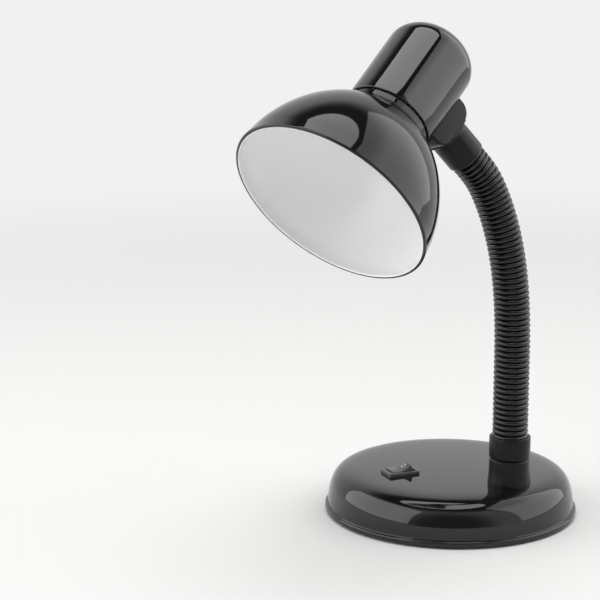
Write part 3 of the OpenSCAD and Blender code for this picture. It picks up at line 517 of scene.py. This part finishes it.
# %% [markdown]
# ## Base cover
# The base is one glossy moulding: a nearly flat, slightly crowned top, a soft shoulder and a thin lip
# that stands out round its foot. Its curve is a superellipse, which keeps the top flat and turns the shoulder
# tightly. The openings for the switch, the neck's tube and the cord are cut after the spin.

# %% Base cover
def cover_curve(off, steps):
    """Points of the cover's curve from its middle out, closer together towards the tight shoulder."""
    rim = wall_r + off
    crowded = [90 * (1 - (1 - i / steps) ** 1.5) for i in range(1, steps)]
    shoulder = [rim * sin(radians(angle)) ** (1 / profile_power) for angle in crowded]
    top = [rim * i / 24 for i in range(1, 18)]
    radii = top + sorted(r for r in shoulder if r > rim * 0.72)
    return [(0, cover_height(0, off))] + [(r, cover_height(r, off)) for r in radii]

rim_gap = 1.2
upper, under = cover_curve(0, 90), cover_curve(-cover_wall, 40)[::-1]
lip = [(wall_r, lip_top + 0.5), (wall_r + 0.2, lip_top), (base_r, lip_top), (base_r, rim_gap),
       (wall_r - cover_wall, rim_gap)]
bm = section(upper + lip + under, [(len(upper) + 3, 0.5), (len(upper) + 2, 1.2)], closed=False)
cover = shape("base_cover_shell", spin(bm, 192), degrees=50)
print("cover", [round(v * 1000, 1) for v in cover.dimensions], "mm")

# %% Openings in the base cover
at_inlet = turn(inlet_turn, "Z") @ Matrix.Translation((0, 0, inlet_z)) @ across
boss_in, boss_out = 1.8, 0.2
inlet_in, inlet_out = wall_r - cover_wall - boss_in, wall_r + boss_out
inlet_hole_r, inlet_boss_r, inlet_room = cord_r + 1.25, cord_r + 3.1, 9
boss = shape("inlet_boss", rod(inlet_boss_r, inlet_in, inlet_out, 48), at_inlet)
cut(cover, boss, operation="UNION")
cut(cover,
    shape("inlet_hole", rod(inlet_hole_r, inlet_in - inlet_room, inlet_out + inlet_room, 48), at_inlet),
    shape("tube_hole", rod(tube_hole_r, 10, 60, 48), at_foot),
    shape("switch_hole", block((18.3, 13.3, 20)), at_switch))
dress(cover, "base_moulding", "cover_black", "base", "base_cover")

# %% [markdown]
# ## Grommet
# The cord enters through a rubber grommet in the rear wall: a short tube with a flange on both faces
# of the wall. It is spun from one section, with soft rounded flanges, then laid along the inlet's axis.

# %% Grommet
flange_r, tube_r, flange_t = cord_r + 2.6, cord_r + 1.2, 1.4
inner, outer = inlet_in - flange_t - seat, inlet_out + flange_t + seat
bm = section([(cord_r, inner), (flange_r, inner), (flange_r, inner + flange_t), (tube_r, inner + flange_t),
              (tube_r, outer - flange_t), (flange_r, outer - flange_t), (flange_r, outer),
              (cord_r, outer)], [(7, 0.6), (6, 0.6), (1, 0.5)])
dress(shape("cord_grommet_rubber", spin(bm, 48), at_inlet), "soft_rubber", "black_rubber", "base",
      "cord_grommet")

# %% [markdown]
# ## Switch
# The switch snaps into the cover. Its bezel is a plain frame with rounded corners that lies on the crowned
# top, round a deep well in which the rocker turns. The frame is one bevelled block with a block cut
# from it, because a well with true walls casts the dark gap round the rocker.

# %% Switch frame
def bevel_block(size, centre, upright, every, rounds=4):
    """A block whose upright edges are rounded first, then its top and bottom edges."""
    bm = block(size, centre)
    edges = [e for e in bm.edges if abs((e.verts[0].co - e.verts[1].co).normalized().z) > 0.9]
    round_edges(bm, edges, upright, rounds)
    edges = [e for e in bm.edges if abs(e.verts[0].co.z - e.verts[1].co.z) < 0.01
             and len({round(f.normal.z) for f in e.link_faces}) > 1]
    round_edges(bm, edges, every)
    return bm

bezel_l, bezel_w, bezel_h, bezel_sink = 21, 15, 2, 1.4
case_l, case_w, well_l, well_w, well_h, well_z = 18.2, 13, 16.7, 11.6, 16, -3.8
bezel_size = (bezel_l, bezel_w, bezel_h + bezel_sink)
bm = bevel_block(bezel_size, (0, 0, (bezel_h - bezel_sink) / 2), 1.6, 0.5)
bezel = shape("switch_frame", bm, at_switch)
case = block((case_l, case_w, switch_depth + 1), (0, 0, (1 - switch_depth) / 2))
cut(bezel, shape("switch_case", case, at_switch), operation="UNION")
slots = [shape("terminal_slot", block((0.9, 4.9, 6), (x, 0, -switch_depth)), at_switch)
         for x in (0, contact_x)]
cut(bezel, shape("well", block((well_l, well_w, well_h), (0, 0, well_z)), at_switch), *slots)
dress(bezel, "switch_plastic", "switch_black", "base", "switch_housing")

# %% [markdown]
# ## Rocker
# The rocker is one moulding with two faces that meet in a soft valley, so a finger finds either end.
# Its side view is drawn once and extruded across its width. The valley is rounded in the drawing with
# a wide bevel, the outer edges with a fine one after it. Two pins stand out into the frame's bearings.

# %% Rocker
rocker_l, rocker_w, rocker_h, rocker_skirt, rocker_tilt = 13.2, 11, 4.3, 1.6, 16
stem_r, stem_bore_r, pin_r, pin_reach = 1.85, 1.2, 1, 6.5
half, valley = rocker_l / 2, rocker_h - rocker_l / 2 * tan(radians(rocker_tilt))
at_rocker = at_switch @ turn(-rocker_tilt, "Y")
bm = section([(-half, -rocker_skirt), (-half, rocker_h), (0, valley), (half, rocker_h),
              (half, -rocker_skirt)], [(2, 2.6)])
push_out(bm, rocker_w)
round_edges(bm, [e for e in bm.edges if e.calc_face_angle(0) > radians(40)], 0.35)
rocker = shape("rocker_cap", bm, at_rocker)
stem = shape("stem", rod(stem_r, -5, 0, 32), at_rocker)
pins = shape("pins", rod(pin_r, -pin_reach, pin_reach, 24), at_rocker @ turn(90, "X"))
cut(rocker, stem, pins, operation="UNION")
cut(rocker, shape("bore", rod(stem_bore_r, -6, valley - 1.2, 32), at_rocker))
dress(rocker, "switch_plastic", "rocker_black", "rocker", "rocker")

# %% [markdown]
# ## Spring under the rocker
# Inside the rocker a small coil spring presses the plunger on the contact blade. A helix is a curve with a
# round bevel, made a mesh once its points are set.

# %% Tubes along points
def tube(name, points, radius, place=Matrix.Identity(4), soft=0.0, sides=6):
    """A round tube through points in millimetres, rounded at each bend by soft, as a mesh in metres."""
    line = bpy.data.curves.new(name, "CURVE")
    line.dimensions = "3D"
    line.bevel_depth = radius * 0.001
    line.bevel_resolution = sides
    line.use_fill_caps = True
    spots = [Vector(p) for p in points]
    if soft:
        eased = [spots[0]]
        for before, spot, after in zip(spots, spots[1:], spots[2:]):
            back = min(soft, (before - spot).length * 0.45)
            ahead = min(soft, (after - spot).length * 0.45)
            start = spot + (before - spot).normalized() * back
            stop = spot + (after - spot).normalized() * ahead
            for t in (i / 6 for i in range(7)):
                eased.append(start.lerp(spot, t).lerp(spot.lerp(stop, t), t))
        spots = eased + [spots[-1]]
    path = line.splines.new("POLY")
    path.points.add(len(spots) - 1)
    for point, spot in zip(path.points, spots):
        point.co = (*(place @ spot * 0.001), 1)
    curve = bpy.data.objects.new(name, line)
    bpy.context.scene.collection.objects.link(curve)
    bpy.context.view_layer.update()
    mesh = bpy.data.meshes.new_from_object(curve.evaluated_get(bpy.context.evaluated_depsgraph_get()))
    bpy.data.objects.remove(curve)
    bm = bmesh.new()
    bm.from_mesh(mesh)
    bmesh.ops.remove_doubles(bm, verts=bm.verts[:], dist=1e-7)
    bmesh.ops.recalc_face_normals(bm, faces=bm.faces[:])
    bpy.data.meshes.remove(mesh)
    return shape(name, bm, to_mm)

coil_low, coil_high, coil_r, coil_wire_r, turns, turn_steps = -3.9, valley - 1.45, 0.9, 0.2, 6, 20
climb = (coil_high - coil_low - 2 * coil_wire_r) / (turns * turn_steps)
coil = [(coil_r * cos(2 * pi * i / turn_steps), coil_r * sin(2 * pi * i / turn_steps),
         coil_low + coil_wire_r + climb * i) for i in range(turns * turn_steps + 1)]
spring = tube("plunger_coil", coil, coil_wire_r, at_rocker, sides=3)
dress(spring, "spring_steel", "spring_steel", "rocker", "plunger_spring")

# %% [markdown]
# ## Neck's foot
# A collar clamps the neck to the cover. It is satin, not glossy, with a shallow groove where its upper
# tier starts, and it stands over the hose's end like a sleeve.

# %% Foot collar
collar_r, collar_foot_r, tier_z, tier_edge = 12.7, 13.2, 45, 0.8
sleeve_r, sleeve_z, waist_r = rib_r + clearance, collar_top - hose_in, collar_r - 0.1
collar = [(sleeve_r, sleeve_z), (tube_hole_r, sleeve_z), (tube_hole_r, foot_z - 1),
          (collar_foot_r, foot_z - 1), (collar_foot_r, foot_z + 2), (waist_r, foot_z + 7),
          (waist_r, tier_z - tier_edge), (waist_r - tier_edge, tier_z), (collar_r, tier_z + tier_edge),
          (collar_r, collar_top), (sleeve_r, collar_top)]
bm = section(collar, [(10, 0.25), (9, 0.8), (8, 0.3), (6, 0.3), (5, 3), (4, 1)])
dress(shape("foot_collar_sleeve", spin(bm, 96), at_foot), "satin_moulding", "ferrule_black", "base",
      "foot_collar")

# %% [markdown]
# ## Ribbed hose
# The neck is a wound steel core in a ribbed plastic hose, and it bends everywhere. In the model it turns at
# ten hinges. So the hose is made in short lengths, each from the middle of one link to the middle of the
# next: it is curved over the one hinge that it crosses, and meets its neighbours where nothing bends.
# One length is spun straight, with five rounded ribs, and then laid along its own small arc.

# %% One length of hose
ribs_per_link, foot_ribs, head_ribs = 5, 7, 3
pitch = link / ribs_per_link

def rib_line(low, count):
    """The ribs' outline from low upwards: narrow grooves and round crests."""
    wave = [(0.0, 0.0), (0.08, 0.35), (0.18, 0.74), (0.32, 0.95), (0.5, 1.0), (0.68, 0.95),
            (0.82, 0.74), (0.92, 0.35)]
    return [(groove_r + (rib_r - groove_r) * h, low + (i + z) * pitch)
            for i in range(count) for z, h in wave] + [(groove_r, low + count * pitch)]

def hose_length(low, count):
    """A closed length of hose, with an even bore that is divided where the ribs are, so that it can bend."""
    bore = [(hose_bore_r, low + i * pitch) for i in range(count, -1, -1)]
    return spin(section(rib_line(low, count) + bore), 72)

def curve_over(bm, k):
    """Bends a straight length, whose middle is z = 0, to the arc over hinge k."""
    before, after = leans[k - 1], leans[k]
    swing, half_way = radians(after - before), radians((before + after) / 2)
    if abs(swing) < 1e-4:
        bm.transform(Matrix.Translation(bends[k]) @ turn(-before, "Y"))
        return
    bow = link / 2 / tan(swing / 2)
    hub = bends[k] - Vector((cos(half_way), 0, sin(half_way))) * bow / cos(swing / 2)
    for vert in bm.verts:
        arc, reach = radians(before) + swing * (vert.co.z / link + 0.5), bow + vert.co.x
        vert.co = hub + Vector((reach * cos(arc), vert.co.y, reach * sin(arc)))

print(links, "links,", ribs_per_link, "ribs on each")

# %% Hose along the neck
def bend_piece(piece, surface, slot, replaced):
    """Dresses a piece that lies curved over a hinge: it gets no body, and its place is baked into its mesh."""
    dress(piece, surface, slot, None, replaced)
    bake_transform(piece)

for k in range(1, links):
    bm = hose_length(-link / 2, ribs_per_link)
    curve_over(bm, k)
    bend_piece(shape(f"hose_{k}", bm, degrees=60), "hose_plastic", "hose_black", f"neck_hose_{k}")

bm = hose_length(link / 2 - foot_ribs * pitch, foot_ribs)
foot_end = shape("hose_foot", bm, Matrix.Translation(bends[0]), degrees=60)
dress(foot_end, "hose_plastic", "hose_black", "base", "neck_hose_0")
bm = hose_length(-link / 2, head_ribs)
head_end = shape("hose_head", bm, at_neck_end, degrees=60)
dress(head_end, "hose_plastic", "hose_black", "head", "neck_hose_10")

# %% [markdown]
# ## Ferrule and bracket block
# At the head the hose ends in a smooth ferrule, which runs into a flat-sided block that carries the housing.
# The block's side view is drawn with widely rounded ends and pushed out to its width. A flared ring,
# cut flat on both sides, blends it into the ferrule, and the housing's round wall is cut out of it,
# so that it sits on the wall like a saddle.

# %% Ferrule
bracket_x = housing_r + bracket_t
ferrule_end = bracket_x + ferrule_len
spigot_r, spigot_z, core_way_r, floor_t = groove_r + seat, ferrule_len - 8, 7.2, 2
ferrule = [(tube_hole_r, seat), (ferrule_r, seat), (ferrule_r, ferrule_len), (spigot_r, ferrule_len),
           (spigot_r, spigot_z), (core_way_r, spigot_z), (core_way_r, floor_t), (tube_hole_r, floor_t)]
bm = section(ferrule, [(2, 0.9), (1, 0.12)])
sleeve = shape("ferrule_sleeve", spin(bm, 96), across_head @ Matrix.Translation((0, 0, bracket_x)))
dress(sleeve, "satin_moulding", "ferrule_black", "head", "ferrule")

# %% Bracket block
bracket_l, bracket_w, bracket_drop, bracket_sink, block_round = 33, 24, 1.2, 5, 8.5
block_blend, blend_out = 2.9, 2.4
block_in, block_x = housing_r - bracket_sink, bracket_x - block_blend
block_low, block_high = -bracket_drop - bracket_l / 2, -bracket_drop + bracket_l / 2
bm = section([(block_in, block_low), (block_x, block_low), (block_x, block_high), (block_in, block_high)],
             [(2, block_round), (1, block_round)], segments=16)
push_out(bm, bracket_w)
round_edges(bm, [e for e in bm.edges if abs(e.verts[0].co.y - e.verts[1].co.y) < 0.01], 1.2, 4)
bracket = shape("bracket", bm, at_head)
print("block", bracket_l, "x", bracket_w, "mm")

# %% Flare between block and ferrule
flare = [(0, -2), (ferrule_r + blend_out, -2)]
flare += [(ferrule_r + blend_out * (1 - sin(radians(t))), block_blend * (1 - cos(radians(t))))
          for t in range(0, 91, 10)]
flare += [(0, block_blend)]
bm = spin(section(flare, closed=False), 96)
flared = shape("flare", bm, across_head @ Matrix.Translation((0, 0, block_x)))
flat_t = 8
cut(flared, *(shape("flat", block((20, flat_t, 40), (bracket_x, side * (bracket_w + flat_t) / 2, 0)), at_head)
              for side in (-1, 1)))
cut(bracket, flared, operation="UNION")
cut(bracket, shape("saddle", rod(housing_r + seat, -30, 30, 192), at_head),
    shape("bracket_bore", rod(tube_hole_r, 0, 60, 48), across_head))
dress(bracket, "satin_moulding", "ferrule_black", "head", "bracket_block")

# %% [markdown]
# ## Lamp housing
# The housing is a deep glossy cap. Its straight side and domed end meet without an edge, because
# the dome's curve starts upright, and that is what lets a soft box draw one long clean strip down it.

# %% Lamp housing
def dome(radius, height, steps=30):
    """A quarter of an ellipse, from its foot up to the axis."""
    angles = [radians(90 * i / steps) for i in range(steps)]
    return [(radius * cos(a), housing_high + height * sin(a)) for a in angles] + [(0, housing_high + height)]

housing_in = housing_r - housing_wall
wall_l, wall_parts = housing_low + housing_high, 6
straight = [(housing_r, -housing_low + wall_l * i / wall_parts) for i in range(wall_parts)]
bm = section([(housing_in, -housing_low), *straight, *dome(housing_r, dome_h),
              *dome(housing_in, dome_h - housing_wall)[::-1]], [(1, 0.6), (0, 0.4)])
housing = shape("housing_cap", spin(bm, 160), at_head)
cut(housing, shape("tube_way", rod(tube_hole_r, 10, 40, 48), across_head))
dress(housing, "gloss_moulding", "housing_black", "head", "lamp_housing")

# %% [markdown]
# ## Shade
# The shade is spun sheet: a short upright collar under the housing, a dome that flattens towards its mouth
# and a thin rolled rim. It is enamelled black outside and white inside, and the two meet on the rim, so one
# mesh carries two finishes, and each face takes its finish from the side of the sheet that it lies on.

# %% Shade
shade_neck_r, shade_top = 25.8, -housing_low - seat

def shade_curve(off, top_r, steps=70):
    """The dome from its mouth up to its collar. off is 0 outside, and less by the sheet's gauge inside."""
    rim = shade_r + off
    radii = [top_r + (rim - top_r) * sin(radians(90 * (1 - i / steps))) for i in range(steps + 1)]
    return [(r, (shade_h + off) * max(0, 1 - (r / rim) ** shade_round) ** (1 / shade_round) - mouth_down)
            for r in radii]

rim_out = 0.5
bead_mid = shade_r - rim_r + rim_out
bead = [(bead_mid + rim_r * cos(radians(a)), rim_r * sin(radians(a)) - mouth_down)
        for a in range(-220, 21, 20)]
outside = shade_curve(0, shade_neck_r)[6:]  # the bead stands in for both curves' first points
inside = shade_curve(-shade_t, shade_neck_r - shade_t)[8:]
hole_r, sheet_low = holder_r + thread_h + 2 * clearance, shade_top - shade_t
line = (bead + outside + [(shade_neck_r, shade_top), (hole_r, shade_top), (hole_r, sheet_low),
                          (shade_neck_r - shade_t, sheet_low)] + inside[::-1])
collar_foot = len(bead) + len(outside) - 1
bm = section(line, [(collar_foot + 4, 0.4), (collar_foot + 1, 0.9), (collar_foot, 1.1)])
shade = shape("shade_shell", spin(bm, 224), degrees=50)
print("shade", [round(v * 1000, 1) for v in shade.dimensions], "mm")

# %% Black and white enamel on one sheet
for surface in ("black_enamel", "white_enamel"):
    shade.data.materials.append(finishes[surface])
white_edge, white = shade_r - rim_r + 0.05, 0
for face in shade.data.polygons:
    spot, facing = face.center * 1000, face.normal
    inward = facing.x * spot.x + facing.y * spot.y < 0 or facing.z < -0.98
    on_bead = spot.z < rim_r - mouth_down
    if (inward or on_bead) and spot.xy.length < white_edge:
        face.material_index = 1
        white += 1
shade.data.transform(to_metres @ at_head @ to_mm)
print(white, "white faces of", len(shade.data.polygons))
dress(shade, "black_enamel", "shade_black", "head", "shade")

# %% [markdown]
# ## Lampholder
# The holder hangs inside the housing and its threaded lower end comes through the shade. A threaded ring on
# it clamps the shade. The thread that a bulb turns into is rolled brass: a wave, spun and lifted
# by one pitch each turn, then cut level at both ends.

# %% A helper for threads
def thread(root_r, crest_r, pitch, low, high, steps=48, wave_steps=8):
    """A threaded tube wall: a wavy line along the axis, spun one turn and lifted by one pitch."""
    bm = bmesh.new()
    waves = int((high - low) / pitch) + 2
    verts = []
    for i in range(waves * wave_steps + 1):
        rise = 0.5 - 0.5 * cos(2 * pi * (i % wave_steps) / wave_steps)
        reach, height = root_r + (crest_r - root_r) * rise, low - pitch + pitch * i / wave_steps
        verts.append(bm.verts.new((reach, 0, height)))
    edges = [bm.edges.new(pair) for pair in zip(verts, verts[1:])]
    bmesh.ops.spin(bm, geom=verts + edges, axis=(0, 0, 1), cent=(0, 0, 0), dvec=(0, 0, pitch / steps),
                   angle=2 * pi, steps=steps)
    bmesh.ops.remove_doubles(bm, verts=bm.verts[:], dist=0.02)
    for height, sign in ((low, -1), (high, 1)):
        bmesh.ops.bisect_plane(bm, geom=bm.verts[:] + bm.edges[:] + bm.faces[:], plane_co=(0, 0, height),
                               plane_no=(0, 0, sign), clear_outer=True)
    bmesh.ops.recalc_face_normals(bm, faces=bm.faces[:])
    return bm

# %% Threaded shell
shell_r, shell_root_r, shell_pitch, shell_low, shell_len = 13.2, 12.15, 3.6, holder_low + 2, 22
bm = thread(shell_root_r, shell_r, shell_pitch, shell_low, shell_low + shell_len)
shell = shape("lamp_thread", bm, at_head, degrees=60)
wall = shell.modifiers.new("wall", "SOLIDIFY")
wall.thickness = 0.0004
wall.offset = 1
dress(shell, "socket_brass", "shell_brass", "head", "holder_shell")

# %% Lampholder
def capped(bm):
    """Closes the level ends of a threaded wall, so that it is a solid rod."""
    rims = [e for e in bm.edges if e.is_boundary]
    bmesh.ops.edgeloop_fill(bm, edges=rims)
    bmesh.ops.recalc_face_normals(bm, faces=bm.faces[:])
    return bm

brim_low, brim_top, brim_r = -housing_low, -housing_low + 2.4, 24.1
skirt_r, chamber_r, chamber_top = holder_r + 0.4, 13.85, -15
profile = [(0, holder_low), (skirt_r, holder_low), (skirt_r, brim_low), (brim_r, brim_low),
           (brim_r, brim_top), (holder_r, brim_top), (holder_r, holder_top), (0, holder_top)]
bm = section(profile, [(6, 1.5), (4, 0.5), (3, 0.3), (1, 1)], closed=False)
holder = shape("lampholder", spin(bm, 96), at_head)
outer_thread = capped(thread(holder_r + 0.2, holder_r + thread_h, 3, holder_low + 2, -29.1))
cut(holder, shape("outer_thread", outer_thread, at_head), operation="UNION")
cut(holder, shape("chamber", rod(chamber_r, holder_low - 1, chamber_top, 72), at_head))
dress(holder, "porcelain", "holder_white", "head", "holder_body")

# %% Shade ring
ring_in, ring_r, ring_h, grips, grip_depth = holder_r + thread_h + seat, 24, 4, 30, 0.55
ring_high = sheet_low - seat
ring_low = ring_high - ring_h
bm = spin(section([(ring_in, ring_low), (ring_r, ring_low), (ring_r, ring_high), (ring_in, ring_high)],
                  [(3, 0.4), (2, 0.5), (1, 0.8), (0, 0.4)]), 240)
for vert in bm.verts:
    reach = Vector((vert.co.x, vert.co.y, 0))
    if reach.length > ring_r - 1 and (Vector((1, 0, 0)).angle(reach) * grips / pi) % 2 < 0.9:
        vert.co -= reach.normalized() * grip_depth
dress(shape("shade_clamp_ring", bm, at_head), "ring_plastic", "ring_white", "head", "shade_ring")

# %% [markdown]
# ## Screws
# Five screws hold the base together and two hold the lampholder. All are the same pan head with a cross
# recess, turned and then cut by two crossed blades, so one helper makes them for every place.

# %% Screws
def screw(name, place, shank):
    """A pan-head screw with its head down from z = 0 and its shank up from there."""
    head_r, head_h, shank_r, point = 2.7, 1.1, 1.25, 0.8
    profile = [(0, -head_h), (1.9, -head_h), (head_r, -head_h / 2), (head_r, 0), (shank_r, 0),
               (shank_r, shank - point), (0.4, shank), (0, shank)]
    bm = section(profile, [(1, 0.5), (2, 0.3)], closed=False)
    piece = shape(name, spin(bm, 32), place)
    blades = [shape("blade", block((2.6, 0.55, 1.3), (0, 0, -head_h)), place @ turn(angle, "Z"))
              for angle in (0, 90)]
    return cut(piece, *blades)

def join(name, pieces):
    """Makes one piece of several copies."""
    bm = bmesh.new()
    for piece in pieces:
        bm.from_mesh(piece.data)
        bpy.data.objects.remove(piece)
    return shape(name, bm, to_mm)

def screw_set(name, count, radius, shank, node):
    """Screws in a ring, up through the bottom plate."""
    places = [turn(60 + i * 360 / count, "Z") @ Matrix.Translation((radius, 0, pad_t - seat))
              for i in range(count)]
    screws = join(name, [screw(f"{name}_{i}", place, shank) for i, place in enumerate(places)])
    dress(screws, "zinc_plate", "screw_steel", "base", node)

screw_set("cover_screw_set", 3, 60, 11, "cover_screws")
screw_set("weight_screw_set", 2, 40, 8, "weight_screws")
strap_t, strap_screw_x, strap_screw_len = 1, 10, 5
pair = [screw(f"strap_screw_{x}", at_head @ Matrix.Translation((x, 0, holder_top + strap_t + 0.1))
              @ turn(180, "X"), strap_screw_len) for x in (-strap_screw_x, strap_screw_x)]
dress(join("strap_screw_set", pair), "zinc_plate", "screw_steel", "head", "strap_screws")

# %% [markdown]
# ## Wiring
# Each wire goes through the same few points as its solid, but with eased bends, as soft insulation has them.
# The sheathed lead in the neck is curved as the neck is, so it is made in lengths over the hinges, as the hose
# is.

# %% Wires in the base
boss_h, washer_t, nut_t, nipple_tail, tab_l, tab_low = 2.6, 1, 5, 3, 7, 3
wire_out, wire_bend, splice_r = 1.3, 2.5, 3.2
nipple_low = base_top - cover_wall - boss_h - washer_t - nut_t - nipple_tail
lead_z = pad_t + plate_t + weight_t + 4

def into_tube(side):
    """The last points of a wire, which turns up into the neck's tube."""
    return [(foot_x + side * reach, foot_y - side * wire_out, height)
            for reach, height in ((9.6, 12), (3, 10), (wire_out, nipple_low - 1), (wire_out, nipple_low + 2))]

tab_z = switch_z - switch_depth - tab_l + tab_low
tab = Vector((switch_x + contact_x + 0.4 + wire_r + seat, switch_y, tab_z))
route = [tab, tab + Vector((3, 0, 0)), tab + Vector((8, -4, 9)), (-6, -22, lead_z),
         (foot_x - 14, foot_y + 10, lead_z)] + into_tube(-1)
wire = tube("switch_wire", route, wire_r, soft=wire_bend)
dress(wire, "brown_insulation", "brown_wire", "base", "switch_lead")

splice_z = pad_t + plate_t + splice_r + seat
start = [turn(inlet_turn, "Z") @ Vector(spot)
         for spot in ((52, -2, splice_z), (52, -8, splice_z), (48, -10, lead_z))]
route = start + [(foot_x + 11, foot_y + 8, lead_z)] + into_tube(1)
wire = tube("neutral_wire", route, wire_r, soft=wire_bend)
dress(wire, "blue_insulation", "blue_wire", "base", "neutral_lead")

# %% Wires in the head
strap_half, head_nut_t, pair = 7, 2.8, []
head_in = sqrt(housing_in ** 2 - strap_half ** 2) - clearance - strap_t - head_nut_t - seat
for side in (-1, 1):
    route = [(head_in + 3.5, side * wire_out, 0), (head_in - 2, side * wire_out, 0.4), (9, side * 8, 3),
             (2, side * 10.5, -3), (2, side * 10.5, holder_top + seat)]
    pair.append(tube(f"holder_wire_{side}", route, wire_r, at_head, soft=wire_bend))
dress(join("holder_wires", pair), "brown_insulation", "brown_wire", "head", "head_leads")

# %% Sheathed lead in the neck
def sheath_length(low, high, parts=8):
    skin = [(lead_r, low + (high - low) * i / parts) for i in range(parts + 1)]
    return spin(section([(0, low), *skin, (0, high)], closed=False), 20)

for k in range(1, links):
    bm = sheath_length(-link / 2, link / 2)
    curve_over(bm, k)
    bend_piece(shape(f"sheath_{k}", bm), "black_sheath", "lead_black", "neck_lead")

lead_tail = 4
bm = sheath_length(nipple_low + lead_tail, collar_top + link / 2)
dress(shape("sheath_foot", bm, at_foot), "black_sheath", "lead_black", "base", "neck_lead")
bm = sheath_length(-link / 2, ferrule_end - head_in - lead_tail)
dress(shape("sheath_head", bm, at_neck_end), "black_sheath", "lead_black", "head", "neck_lead")

# %% [markdown]
# ## Solids that show as they are
# The plate, weight, nuts, tubes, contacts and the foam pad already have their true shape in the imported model.
# They only need a finish.

# %% Finishes of the solids
surfaces = {
    "base_plate": "coated_sheet", "base_pad": "pad_foam", "counterweight": "sand_casting",
    "rocker_marks": "mark_print", "rocker_plunger": "natural_nylon", "contact_blade": "stamped_brass",
    "switch_terminals": "stamped_brass", "foot_nipple": "stamped_brass", "foot_washer": "zinc_plate",
    "foot_nut": "zinc_plate", "splice_cap": "natural_nylon", "head_nipple": "stamped_brass",
    "head_nut": "zinc_plate", "holder_strap": "zinc_plate", "centre_contact": "stamped_brass",
    "side_contact": "stamped_brass",
}
surfaces.update({f"neck_core_{k}": "zinc_plate" for k in range(links)})
for node, surface in surfaces.items():
    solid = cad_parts[node]
    solid.data.materials.clear()
    solid.data.materials.append(finishes[surface])
print(len(surfaces), "solids finished")

# %% [markdown]
# ## Boxes of the solids and the dressed lamp
# The dressed lamp has to fill the same box as the solids. Both boxes are printed, to compare them.

# %% Boxes of the solids and the dressed lamp
visual_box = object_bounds()
boxes = {"solid": solid_box, "visual": visual_box}
for label, box in boxes.items():
    print(label, [[round(value, 4) for value in corner] for corner in box])
